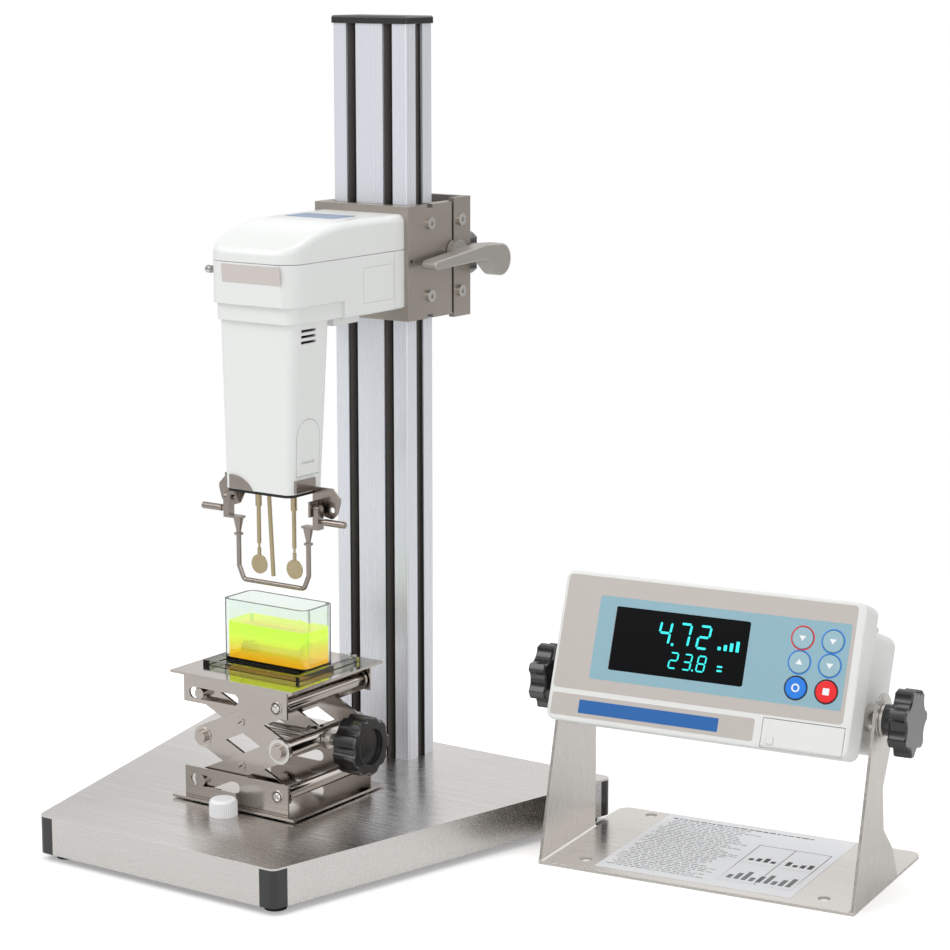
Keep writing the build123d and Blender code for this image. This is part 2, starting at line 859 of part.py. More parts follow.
def make_head_body():
    """The lower head shell: a tray with a step, the sensor collar and a rear belly."""
    back = carriage_front_y
    top = head_seam_z - head_seam_gap
    lean = head_front_y + head_front_lean
    side = Polygon((back, head_step_z), (back, top), (head_front_y, top), (lean, head_step_z), align=None)
    body = side_profile(side, -head_half_width, head_half_width)
    body &= plan_profile(head_plan(0), head_step_z, top)
    collar = rounded_plan(collar_half_width, collar_front_y, rear_belly_y + collar_corner_radius,
                          collar_corner_radius)
    body += plan_profile(collar, collar_bottom_z, head_step_z)
    wide = head_half_width
    belly = block(-wide, wide, rear_belly_y, back, rear_belly_z, head_step_z)
    belly_edges = belly.faces().sort_by(Axis.Z)[0].edges().filter_by(Axis.Y)
    body += fillet(belly_edges, head_wall)
    pad_back = rear_belly_y + head_wall + belly_pad_depth
    body += block(-belly_pad_half_width, belly_pad_half_width, rear_belly_y + head_wall, pad_back,
                  rear_belly_z - belly_pad_drop, rear_belly_z)
    floor = rear_belly_z + head_wall
    inner = head_plan(head_wall + head_front_lean)
    body -= plan_profile(inner, head_step_z + head_wall, top)
    body -= block(-wide + head_wall, wide - head_wall, rear_belly_y + head_wall, back - head_wall,
                  floor, head_step_z + head_wall)
    mouth = rounded_plan(frame_mouth_half_width(), housing_top_front_y + housing_wall * 2,
                         rear_belly_y - collar_corner_radius, housing_corner_radius)
    body -= plan_profile(mouth, collar_bottom_z, head_step_z + head_wall)
    for post in head_board_posts():
        body += rod_along("z", floor, floor + board_post_height, post, board_post_radius)
    return body


def frame_mouth_half_width():
    """Half the width of the opening between the head and the sensor housing."""
    return housing_top_half_width - housing_wall * 3


def head_board_posts():
    """The four posts under the head's circuit board."""
    middle = (rear_belly_y + carriage_front_y) / 2
    reach_x = head_board_half_width - board_post_radius
    reach_y = head_board_length / 2 - board_post_radius
    return [(side_x * reach_x, middle + side_y * reach_y) for side_x in (-1, 1) for side_y in (-1, 1)]


def make_head_board():
    """The head's circuit board with its larger parts."""
    bottom = rear_belly_z + head_wall + board_post_height
    middle = (rear_belly_y + carriage_front_y) / 2
    half = head_board_length / 2
    board = block(-head_board_half_width, head_board_half_width, middle - half, middle + half,
                  bottom, bottom + head_board_thickness)
    top = bottom + head_board_thickness
    board += block(-head_chip_size, 0, middle - half / 3, middle - half / 3 + head_chip_size,
                   top, top + head_chip_height)
    board += block(head_plug_width, head_plug_width * 2, middle - head_plug_length / 2,
                   middle + head_plug_length / 2, top, top + head_plug_height)
    centre = (capacitor_x, middle + capacitor_setback)
    return board + rod_along("z", top, top + capacitor_height, centre, capacitor_radius)


def housing_form(inset, bottom_z):
    """The tapering sensor housing, drawn in by inset, from its top down to bottom_z."""
    drop = collar_bottom_z - housing_bottom_z
    share = (collar_bottom_z - bottom_z) / drop
    half = housing_top_half_width + (housing_bottom_half_width - housing_top_half_width) * share
    front = housing_top_front_y + (housing_bottom_front_y - housing_top_front_y) * share
    back = housing_top_back_y + (housing_bottom_back_y - housing_top_back_y) * share
    radius = housing_corner_radius - inset
    top = rounded_plan(housing_top_half_width - inset, housing_top_front_y + inset,
                       housing_top_back_y - inset, radius)
    low = rounded_plan(half - inset, front + inset, back - inset, radius)
    return loft([Pos(0, 0, bottom_z) * low, Pos(0, 0, collar_bottom_z) * top])


def side_cover_outline(gap):
    """The side cover's outline in Y and Z, square below and round above."""
    width = side_cover_back_y - side_cover_front_y
    radius = width / 2
    middle = side_cover_front_y + radius
    arch_z = side_cover_top_z - radius
    upright = Pos(middle, (side_cover_bottom_z + arch_z) / 2)
    outline = upright * Rectangle(width, arch_z - side_cover_bottom_z)
    outline += Pos(middle, arch_z) * Circle(radius)
    return offset(outline, -gap) if gap else outline


def make_sensor_housing():
    """The tapered shell round the drive, with vents, a floor for the rods and a cover recess."""
    housing = housing_form(0, housing_bottom_z)
    hollow = housing_form(housing_wall, housing_bottom_z + housing_floor)
    shell = housing - hollow
    outside = housing_top_half_width
    for index in range(vent_count):
        top = vent_first_z - index * vent_pitch
        shell -= block(outside / 2, outside, vent_front_y, vent_front_y + vent_length,
                       top - vent_height, top)
    recess = side_profile(side_cover_outline(0), outside / 2, outside)
    shell -= recess - housing_form(side_cover_thickness, housing_bottom_z)
    for side in (-1, 1):
        centre = (side * sensor_x, sensor_y)
        hole = sleeve_radius + rod_clearance
        shell -= rod_along("z", housing_bottom_z, housing_bottom_z + housing_floor, centre, hole)
    return shell - probe_bar(probe_radius + running_clearance)


def make_side_cover():
    """The snap-in side cover, flush with the housing, with a thumb slot."""
    outside = housing_top_half_width
    cover = housing_form(0, housing_bottom_z) - housing_form(side_cover_thickness, housing_bottom_z)
    cover &= side_profile(side_cover_outline(side_cover_gap), outside / 2, outside)
    middle = (side_cover_front_y + side_cover_back_y) / 2
    half = thumb_slot_length / 2
    return cover - block(outside / 2, outside, middle - half, middle + half,
                         thumb_slot_z, thumb_slot_z + thumb_slot_height)


def make_housing_gasket():
    """The black gasket plate under the housing, with clearance for the sensors."""
    plate = plan_profile(
        rounded_plan(housing_bottom_half_width - gasket_inset, housing_bottom_front_y + gasket_inset,
                     housing_bottom_back_y - gasket_inset, housing_corner_radius - gasket_inset),
        gasket_z, housing_bottom_z)
    for side in (-1, 1):
        hole = sleeve_radius + rod_clearance
        plate -= rod_along("z", gasket_z, housing_bottom_z, (side * sensor_x, sensor_y), hole)
    return plate - probe_bar(probe_radius + running_clearance)


def make_drive_frame():
    """The stiff frame that hangs from the collar and carries the leaves and coils."""
    margin = housing_wall + frame_flange_margin
    top = collar_bottom_z
    bottom = top - frame_flange_thickness
    flange = rounded_plan(housing_top_half_width - margin, housing_top_front_y + margin,
                          housing_top_back_y - margin, housing_corner_radius - margin)
    frame = plan_profile(flange, bottom, top)
    stem = block(-frame_half_width, frame_half_width, sensor_y - frame_half_depth,
                 sensor_y + frame_half_depth, frame_bottom_z, bottom)
    foot_half = frame_foot_half_width
    foot = block(-foot_half, foot_half, sensor_y - frame_half_depth, sensor_y + frame_half_depth,
                 frame_bottom_z, frame_bottom_z + frame_foot_height)
    yoke_z = leaf_z + leaf_thickness + coil_gap + coil_height
    yoke = block(-sensor_x - coil_radius, sensor_x + coil_radius, sensor_y - frame_half_depth,
                 sensor_y + frame_half_depth, yoke_z, yoke_z + frame_yoke_height)
    seat_half = frame_half_width + leaf_seat_overhang
    leaf_seat = block(-seat_half, seat_half, sensor_y - leaf_depth / 2, sensor_y + leaf_depth / 2,
                      leaf_z - leaf_seat_height, leaf_z)
    frame = frame + stem + foot + yoke + leaf_seat
    return frame - block(-frame_half_width, frame_half_width, sensor_y - leaf_depth / 2,
                         sensor_y + leaf_depth / 2, leaf_z, leaf_z + leaf_thickness)


def make_drive_coils():
    """The two electromagnets above the sensor leaves, hung from the yoke."""
    low = leaf_z + leaf_thickness + coil_gap
    coils = []
    for side in (-1, 1):
        centre = (side * sensor_x, sensor_y)
        coil = rod_along("z", low, low + coil_height, centre, coil_radius / 2)
        coil += rod_along("z", low + pole_height, low + coil_height, centre, coil_radius)
        for start in (low + pole_height, low + coil_height - coil_flange_height):
            coil += rod_along("z", start, start + coil_flange_height, centre,
                              coil_radius + coil_flange_overhang)
        coils.append(coil)
    return coils


def make_spring_plates():
    """One leaf for each sensor, clamped in the frame and free at the sensor's end."""
    half = leaf_depth / 2
    outer = sensor_x + sleeve_radius * 2
    leaf = block(leaf_middle_gap, outer, sensor_y - half, sensor_y + half, leaf_z, leaf_z + leaf_thickness)
    waist = block(leaf_waist_start, sensor_x - sleeve_radius * 1.5, sensor_y - half / 2,
                  sensor_y + half / 2, leaf_z, leaf_z + leaf_thickness)
    return mirrored(leaf - waist)


def make_displacement_sensors():
    """The pickups that read how far each rod swings, fixed to the frame's stem."""
    inner = frame_half_width
    outer = sensor_x - sleeve_radius - pickup_gap
    pickup = block(inner, outer, sensor_y - pickup_half_depth, sensor_y + pickup_half_depth,
                   pickup_z, pickup_z + pickup_height)
    return mirrored(pickup)


def make_sensor_plates():
    """The two vibrating sensors: a thin disc, a fine neck and a rod up to the leaf."""
    centre = (sensor_x, sensor_y)
    front = sensor_y - disc_thickness / 2
    sensor = rod_along("y", front, front + disc_thickness, (sensor_x, disc_z), disc_radius)
    stem_top = disc_z + disc_radius + disc_stem_length
    sensor += rod_along("z", disc_z, stem_top, centre, disc_thickness / 2)
    sensor += rod_along("z", disc_z + disc_radius - disc_thickness, stem_top, centre, disc_stem_radius)
    sensor += rod_along("z", stem_top, rod_bottom_z, centre, neck_radius)
    sensor += rod_along("z", rod_bottom_z, sleeve_bottom_z, centre, rod_radius)
    sensor += rod_along("z", sleeve_bottom_z, leaf_z, centre, sleeve_radius)
    return mirrored(sensor)


def probe_bar(radius):
    """The leaning temperature probe as a bar of any radius."""
    length = frame_bottom_z - probe_tip_z
    plane = Plane(origin=(probe_tip_x, sensor_y, probe_tip_z), x_dir=(0, 1, 0), z_dir=(-probe_lean, 0, 1))
    bar = extrude(plane * Circle(radius), length + radius)
    return bar & block(-housing_top_half_width, housing_top_half_width, sensor_y - disc_radius,
                       sensor_y + disc_radius, 0, frame_bottom_z)


def make_protector_brackets():
    """Sheet brackets on the housing's sides with the ears for the protector's pins."""
    plate_back = bracket_plate_y + bracket_sheet
    tab_inner = housing_bottom_half_width + bracket_tab_gap
    tip_x = bracket_outer_x - bracket_outer_cut
    tip_z = bracket_bottom_z - bracket_tip_drop
    plate = Polygon(
        (tab_inner, bracket_top_z), (tab_inner, bracket_bottom_z + bracket_shoulder),
        (bracket_ear_x, bracket_bottom_z), (tip_x, tip_z),
        (tip_x + bracket_tip_width, tip_z + bracket_tip_width),
        (bracket_outer_x, bracket_bottom_z + bracket_shoulder),
        (bracket_outer_x, bracket_top_z - bracket_outer_cut), (tip_x, bracket_top_z), align=None)
    plate = fillet(plate.vertices().sort_by(Axis.X)[2:], bracket_corner_round)
    bracket = front_profile(plate, bracket_plate_y, plate_back)
    tab_low = housing_bottom_z + bracket_tab_rise
    bracket += block(tab_inner, tab_inner + bracket_sheet, plate_back - bracket_tab_depth, plate_back,
                     tab_low, tab_low + bracket_tab_height)
    ear_front = protector_y - bracket_ear_drop
    bracket += block(bracket_ear_x, bracket_ear_x + bracket_sheet, ear_front, bracket_plate_y,
                     protector_pivot_z - bracket_ear_drop, protector_pivot_z + bracket_ear_drop)
    screw = (tip_x, bracket_bottom_z + bracket_tip_width)
    bracket -= rod_along("y", bracket_plate_y, plate_back, screw, bracket_screw_hole)
    hole = pivot_pin_radius + running_clearance
    bracket -= rod_along("x", tab_inner, bracket_outer_x, (protector_y, protector_pivot_z), hole)
    return mirrored(bracket) + [front_apron()]


def front_apron():
    """The curved sheet on the housing's front, over its lower left corner."""
    low = housing_bottom_z + apron_rise
    left = apron_left_inset - housing_bottom_half_width
    bend = (apron_curve[0], low + apron_curve[1])
    crown = ThreePointArc((apron_right_x, low), bend, (left, low + apron_height))
    edge = Line((left, low + apron_height), (left, low))
    outline = make_face([crown, edge, Line((left, low), (apron_right_x, low))])
    return front_profile(outline, housing_bottom_front_y - apron_thickness, housing_bottom_front_y)


def make_protector_bail():
    """The wire guard below the sensors with its hangers, pins and funnels."""
    path = FilletPolyline(
        (-bail_leg_x, protector_y, bail_strip_z), (-bail_leg_x, protector_y, bail_bend_z),
        (-bail_bottom_half, protector_y, bail_bottom_z), (bail_bottom_half, protector_y, bail_bottom_z),
        (bail_leg_x, protector_y, bail_bend_z), (bail_leg_x, protector_y, bail_strip_z),
        radius=bail_bend_radius)
    start = Plane(origin=path @ 0, z_dir=path % 0)
    bail = sweep(start * Circle(bail_rod_radius), path=path)
    half = bail_block_depth / 2
    strip_top = bail_strip_z + bail_strip_thickness
    arm_top = protector_pivot_z + half
    funnel_height = bail_strip_z - funnel_bottom_z
    hanger = block(bail_strip_inner_x, bail_block_outer_x, protector_y - half, protector_y + half,
                   bail_strip_z, strip_top)
    arm = block(bail_block_inner_x, bail_block_outer_x, protector_y - half, protector_y + half,
                bail_strip_z, protector_pivot_z)
    arm += rod_along("x", bail_block_inner_x, bail_block_outer_x, (protector_y, protector_pivot_z), half)
    funnel = Pos(bail_leg_x, protector_y, funnel_bottom_z + funnel_height / 2) * Cone(
        bail_rod_radius, funnel_radius, funnel_height)
    ring = rod_along("z", bail_ring_z, bail_ring_z + bail_ring_thickness, (bail_leg_x, protector_y),
                     bail_ring_radius)
    pin = rod_along("x", bracket_ear_x - bracket_sheet, bail_block_inner_x,
                    (protector_y, protector_pivot_z), pivot_pin_radius)
    side = hanger + arm + funnel + ring + pin
    for half_bail in mirrored(side):
        bail += half_bail
    return bail


def make_protector_handles():
    """The two knurled pins that lift the protector."""
    centre = (protector_y, protector_pivot_z - handle_drop)
    neck_end = bail_block_outer_x + handle_neck_length
    handle = rod_along("x", bail_block_outer_x, neck_end, centre, handle_neck_radius)
    grip = rod_along("x", neck_end, handle_outer_x, centre, handle_radius)
    return mirrored(handle + chamfer(grip.edges().filter_by(GeomType.CIRCLE), handle_chamfer))


def arm_bar(from_x, from_z, to_x, to_z, front_y, holes):
    """One flat scissor bar and its twin behind, with round ends and drilled pivots."""
    angle = math.degrees(math.atan2(to_z - from_z, to_x - from_x))
    middle = Pos((from_x + to_x) / 2, (from_z + to_z) / 2)
    outline = middle * Rot(0, 0, angle) * SlotCenterToCenter(jack_arm_length, jack_arm_width)
    for hole_x, hole_z, radius in holes:
        outline -= Pos(hole_x, hole_z) * Circle(radius)
    bar = front_profile(outline, front_y, front_y + jack_arm_thickness)
    return [bar, mirror(bar, Plane.XZ.offset(-jack_mid_y))]


def jack_rod(centre, core_radius, journal_radius, end_y, heads):
    """A cross rod of the jack: a core between the bars, journals, and heads at both ends."""
    core_back = jack_mid_y * 2 - jack_core_y
    rod = rod_along("y", end_y, jack_mid_y * 2 - end_y, centre, journal_radius)
    rod += rod_along("y", jack_core_y, core_back, centre, core_radius)
    outer = end_y
    for radius, height in heads:
        rod += rod_along("y", outer - height, outer, centre, radius)
        back = jack_mid_y * 2 - outer
        rod += rod_along("y", back, back + height, centre, radius)
        outer -= height
    return rod


def cross_rivets(centre):
    """Two rivets through a crossing, headed on the outside."""
    back = jack_inner_layer_y + jack_arm_thickness
    rivet = rod_along("y", jack_outer_layer_y, back, centre, rivet_radius)
    rivet += rod_along("y", jack_outer_layer_y - rivet_head_height, jack_outer_layer_y, centre,
                       rivet_head_radius)
    return [rivet, mirror(rivet, Plane.XZ.offset(-jack_mid_y))]


def jack_channel(plate_z, flange_low, flange_high, pivot_z):
    """A jack plate with its two slotted flanges."""
    back = jack_front_y + jack_depth
    channel = block(jack_left_x, jack_right_x, jack_front_y, back, plate_z, plate_z + jack_sheet)
    flange = block(jack_flange_left_x, jack_flange_right_x, jack_flange_y, jack_flange_y + jack_sheet,
                   flange_low, flange_high)
    slot_length = jack_slot_right_x - jack_slot_left_x
    slot_height = (slide_rod_radius + jack_slot_clearance) * 2
    slot = Pos((jack_slot_left_x + jack_slot_right_x) / 2, pivot_z) * SlotOverall(slot_length, slot_height)
    flange -= front_profile(slot, jack_flange_y, jack_flange_y + jack_sheet)
    flange -= rod_along("y", jack_flange_y, jack_flange_y + jack_sheet, (jack_fixed_x, pivot_z),
                        fixed_journal_radius)
    return channel + flange + mirror(flange, Plane.XZ.offset(-jack_mid_y))


def make_jack_base():
    """The jack's foot: a channel on four pads, and the fixed rod of the lower stage."""
    top = jack_plate_z + jack_sheet
    channel = jack_channel(jack_plate_z, top, top + jack_flange_height, jack_low_z)
    for pad_x in (jack_left_x + jack_pad_inset, jack_right_x - jack_pad_inset):
        for pad_y in (jack_front_y + jack_pad_inset, jack_front_y + jack_depth - jack_pad_inset):
            channel += rod_along("z", base_top_z, jack_plate_z, (pad_x, pad_y), jack_pad_radius)
    heads = [(fixed_head_radius, fixed_head_height)]
    rod = jack_rod((jack_fixed_x, jack_low_z), fixed_rod_radius, fixed_journal_radius,
                   jack_flange_y, heads)
    return [channel, rod]


def make_jack_top_plate():
    """The jack's table: an upturned channel and the fixed rod of the upper stage."""
    channel = jack_channel(jack_top_z, jack_top_z - jack_top_flange_height, jack_top_z, jack_high_z)
    heads = [(fixed_head_radius, fixed_head_height)]
    rod = jack_rod((jack_fixed_x, jack_high_z), fixed_rod_radius, fixed_journal_radius,
                   jack_flange_y, heads)
    return [channel, rod]


def make_jack_lower_fixed_arms():
    """The lower stage's inner bars, which turn on the fixed rod, and their rivets."""
    cross = ((jack_slide_x + jack_fixed_x) / 2, (jack_low_z + jack_mid_z) / 2)
    holes = [(jack_fixed_x, jack_low_z, fixed_journal_radius + running_clearance),
             (*cross, rivet_radius), (jack_slide_x, jack_mid_z, mid_journal_radius + running_clearance)]
    bars = arm_bar(jack_fixed_x, jack_low_z, jack_slide_x, jack_mid_z, jack_inner_layer_y, holes)
    return bars + cross_rivets(cross)


def make_jack_lower_sliding_arms():
    """The lower stage's outer bars, which slide in the base's slots."""
    cross = ((jack_slide_x + jack_fixed_x) / 2, (jack_low_z + jack_mid_z) / 2)
    holes = [(jack_slide_x, jack_low_z, slide_rod_radius), (*cross, rivet_radius + running_clearance),
             (jack_fixed_x, jack_mid_z, mid_journal_radius + running_clearance)]
    return arm_bar(jack_slide_x, jack_low_z, jack_fixed_x, jack_mid_z, jack_outer_layer_y, holes)


def make_jack_upper_fixed_arms():
    """The upper stage's outer bars, from the nut rod to the table's fixed rod, and their rivets."""
    cross = ((jack_slide_x + jack_fixed_x) / 2, (jack_mid_z + jack_high_z) / 2)
    holes = [(jack_slide_x, jack_mid_z, mid_journal_radius + running_clearance), (*cross, rivet_radius),
             (jack_fixed_x, jack_high_z, fixed_journal_radius + running_clearance)]
    bars = arm_bar(jack_slide_x, jack_mid_z, jack_fixed_x, jack_high_z, jack_outer_layer_y, holes)
    return bars + cross_rivets(cross)


def make_jack_upper_sliding_arms():
    """The upper stage's inner bars, from the thrust rod to the table's slots."""
    cross = ((jack_slide_x + jack_fixed_x) / 2, (jack_mid_z + jack_high_z) / 2)
    holes = [(jack_fixed_x, jack_mid_z, mid_journal_radius + open_pivot_clearance),
             (*cross, rivet_radius + running_clearance), (jack_slide_x, jack_high_z, slide_rod_radius)]
    return arm_bar(jack_fixed_x, jack_mid_z, jack_slide_x, jack_high_z, jack_inner_layer_y, holes)


def slide_rod(pivot_z):
    """A rod that slides in a pair of flange slots."""
    end = jack_flange_y - fixed_head_height
    return rod_along("y", end, jack_mid_y * 2 - end, (jack_slide_x, pivot_z), slide_rod_radius)


def mid_rod(centre_x):
    """A rod of the middle pivots, bored across for the spindle, with washers and cap heads."""
    heads = [(mid_washer_radius, mid_washer_thickness), (mid_head_radius, mid_head_height)]
    end = jack_outer_layer_y - running_clearance
    rod = jack_rod((centre_x, jack_mid_z), mid_rod_radius, mid_journal_radius, end, heads)
    bore = spindle_radius + running_clearance
    return rod - rod_along("x", centre_x - mid_rod_radius * 2, centre_x + mid_rod_radius * 2,
                           (jack_mid_y, jack_mid_z), bore)


def make_jack_spindle():
    """The screw spindle with its two thrust collars."""
    centre = (jack_mid_y, jack_mid_z)
    spindle = rod_along("x", spindle_left_x, jack_knob_x + jack_knob_thickness / 2, centre, spindle_radius)
    seat = mid_rod_radius + spindle_collar_gap
    for start in (jack_fixed_x - seat - spindle_collar_length, jack_fixed_x + seat):
        spindle += rod_along("x", start, start + spindle_collar_length, centre, spindle_collar_radius)
    return spindle


def make_jack_knob():
    """The jack's grip: a lobed wheel with a dished face on a round hub."""
    centre = (jack_mid_y, jack_mid_z)
    outer = jack_knob_x + jack_knob_thickness
    outline = lobed_disc(jack_knob_radius, jack_knob_lobes, jack_knob_bite_radius, jack_knob_bite_depth)
    knob = side_profile(Pos(*centre) * outline, jack_knob_x, outer)
    ends = knob.faces().filter_by(Axis.X)
    knob = chamfer([edge for face in ends for edge in face.edges()], knob_edge)
    knob += rod_along("x", jack_hub_x, jack_knob_x, centre, jack_hub_radius)
    knob -= rod_along("x", outer - jack_knob_dish, outer, centre, jack_knob_dish_radius)
    return knob - rod_along("x", jack_hub_x, jack_knob_x + jack_knob_thickness / 2, centre, spindle_radius)


def make_cell_rails():
    """The low three-sided guide on the table that places the cell."""
    outer = rail_inner_x + rail_width
    top = cell_bottom_z + rail_height
    guide = block(-outer, outer, rail_front_y, rail_front_y + rail_bar_depth, cell_bottom_z, top)
    for side in (-1, 1):
        low, high = sorted((side * rail_inner_x, side * outer))
        guide += block(low, high, rail_front_y, rail_back_y, cell_bottom_z, top)
        centre = (side * (rail_inner_x + rail_width / 2), rail_back_y - rail_width)
        guide += rod_along("z", top, top + rail_peg_height, centre, rail_peg_radius)
    return guide


def cell_form(inset, low, high):
    """The cell's outer or inner form."""
    half_depth = cell_depth / 2 - inset
    outline = rounded_plan(cell_width / 2 - inset, cell_y - half_depth, cell_y + half_depth,
                           cell_corner_radius - inset)
    return plan_profile(outline, low, high)


def make_glass_cell():
    """The open glass cell with a thick floor."""
    top = cell_bottom_z + cell_height
    return cell_form(0, cell_bottom_z, top) - cell_form(cell_wall, cell_bottom_z + cell_floor, top)


def make_sample_liquid():
    """The sample in the cell."""
    low = cell_bottom_z + cell_floor
    high = cell_bottom_z + cell_height - liquid_drop
    return cell_form(cell_wall + liquid_clearance, low, high)


def make_loose_cap():
    """A ribbed screw cap, hollow from below."""
    reach = loose_cap_radius - loose_cap_rib_depth
    points = []
    for index in range(loose_cap_ribs * 2):
        turn = math.radians(180 * index / loose_cap_ribs)
        radius = reach if index % 2 else loose_cap_radius
        points.append((radius * math.cos(turn), radius * math.sin(turn)))
    cap = extrude(Polygon(*points, align=None), loose_cap_height - loose_cap_edge_radius)
    dome = Pos(0, 0, loose_cap_height / 2) * Cylinder(reach, loose_cap_height)
    cap += fillet(dome.faces().sort_by(Axis.Z)[-1].edges(), loose_cap_edge_radius)
    depth = loose_cap_height - loose_cap_wall
    cap -= Pos(0, 0, depth / 2) * Cylinder(reach - loose_cap_wall, depth)
    return Pos(loose_cap_x, loose_cap_y, base_top_z) * cap


def bracket_upright(back_points, x_low, x_high):
    """A bracket side: a leaning front edge, a round top and a shaped back edge."""
    front = -bracket_depth / 2
    points = [(upright_back_y, 0), (front, 0), (tilt_y - upright_top_radius, tilt_z)]
    points += [(tilt_y + upright_top_radius, tilt_z), *back_points]
    upright = side_profile(Polygon(*points, align=None), x_low, x_high)
    return upright + rod_along("x", x_low, x_high, (tilt_y, tilt_z), upright_top_radius)


def make_display_bracket():
    """The display's bracket, folded from one sheet, with four screw holes in its floor."""
    half = bracket_width / 2
    half_depth = bracket_depth / 2
    floor = Rectangle(bracket_width, bracket_depth)
    floor = fillet(floor.vertices().group_by(Axis.Y)[-1], bracket_corner_radius)
    for side in (-1, 1):
        for hole_y in (bracket_hole_front_y, bracket_hole_back_y):
            floor -= Pos(side * bracket_hole_x, hole_y) * Circle(bracket_hole_radius)
    bracket = plan_profile(floor, 0, bracket_thickness)
    bracket += bracket_upright(waist_points, upright_inner_x, half)
    bracket += bracket_upright([(upright_back_y, upright_back_z)], -half, -upright_inner_x)
    hole = tilt_stud_radius + tilt_stud_hole_gap
    bracket -= rod_along("x", -half, half, (tilt_y, tilt_z), hole)
    inner = upright_inner_x
    for side in (-1, 1):
        low, high = sorted((side * inner, side * (inner - bracket_bend_radius)))
        bend = block(low, high, -half_depth, upright_back_y, bracket_thickness,
                     bracket_thickness + bracket_bend_radius)
        centre = (side * (inner - bracket_bend_radius), bracket_thickness + bracket_bend_radius)
        bracket += bend - rod_along("y", -half_depth, upright_back_y, centre, bracket_bend_radius)
    return bracket_place * bracket


bracket_place = Pos(display_x, display_y, 0) * Rot(0, 0, display_yaw)
tilt_angle = math.radians(display_tilt)
face_normal = (0, -math.cos(tilt_angle), math.sin(tilt_angle))
face_bottom_y = (tilt_y - face_bottom_to_pivot * math.sin(tilt_angle)
                 - face_to_pivot * math.cos(tilt_angle))
face_bottom_z = (tilt_z - face_bottom_to_pivot * math.cos(tilt_angle)
                 + face_to_pivot * math.sin(tilt_angle))
face_plane = Plane(origin=(0, face_bottom_y, face_bottom_z), x_dir=(1, 0, 0), z_dir=face_normal)
face_place = bracket_place * face_plane.location


def face_block(u_low, u_high, v_low, v_high, depth_low, depth_high):
    """A box in the face frame, between two depths behind the face."""
    return block(u_low, u_high, v_low, v_high, -depth_high, -depth_low)


def face_panel(half_width, low, high, radius, depth_low, depth_high):
    """A rounded slab in the face frame."""
    outline = rounded_plan(half_width, low, high, radius)
    return extrude(Pos(0, 0, -depth_high) * outline, depth_high - depth_low, dir=(0, 0, 1))


def key_places():
    """Each key's name and place on the face."""
    rows = ("upper", "centre", "lower")
    sides = ("left", "right")
    places = []
    for row, key_v in zip(rows, key_rows):
        for side, key_u in zip(sides, key_columns):
            places.append((f"key_{row}_{side}", key_u, key_v))
    return places


def make_display_bezel():
    """The moulded front with its window, key holes and the well of the flip door."""
    bezel = face_panel(face_half_width, 0, face_height, face_corner_radius, 0, bezel_depth)
    bezel = fillet(bezel.faces().sort_by(Axis.Z)[-1].edges(), bezel_edge_radius)
    bezel -= face_panel(face_half_width - bezel_wall, bezel_wall, face_height - bezel_wall,
                        face_corner_radius - bezel_wall, bezel_wall, bezel_depth)
    well_back = door_thickness + door_well_depth + bezel_wall
    bezel += face_block(door_left_u - bezel_wall, face_half_width - bezel_wall, bezel_wall,
                        door_bottom_v + door_height + bezel_wall, bezel_wall, well_back)
    bezel -= face_block(window_left_u, window_right_u, window_bottom_v, window_top_v, 0, bezel_wall)
    for name, key_u, key_v in key_places():
        bezel -= rod_along("z", -bezel_wall, 0, (key_u, key_v), key_radius + key_gap)
    door_top = door_bottom_v + door_height
    bezel -= face_block(door_left_u - door_gap, door_right_u + door_gap, 0, door_top + door_gap,
                        0, door_thickness + door_gap)
    bezel -= face_block(door_left_u + bezel_wall, door_right_u - bezel_wall, door_bottom_v + bezel_wall,
                        door_top - bezel_wall, 0, door_thickness + door_well_depth)
    bezel -= door_pin(running_clearance)
    return face_place * bezel


def door_pin(clearance):
    """The door's hinge pin, or with a clearance the bore for it."""
    reach = door_gap + door_pin_seat + clearance
    radius = door_pin_radius + clearance
    return rod_along("x", door_left_u - reach, door_right_u + reach, door_hinge, radius)


def make_display_door():
    """The flip door at the face's lower corner, with a thumb lug."""
    door = face_block(door_left_u, door_right_u, door_bottom_v, door_bottom_v + door_height,
                      0, door_thickness)
    door = chamfer(door.edges().filter_by(Axis.X).group_by(Axis.Y)[0], door_edge_cut)
    lug_u = door_left_u + door_lug_left
    lug_v = door_bottom_v + door_lug_low
    door += face_block(lug_u, lug_u + door_lug_size, lug_v, lug_v + door_lug_size, -door_lug_proud, 0)
    return face_place * (door + door_pin(0))


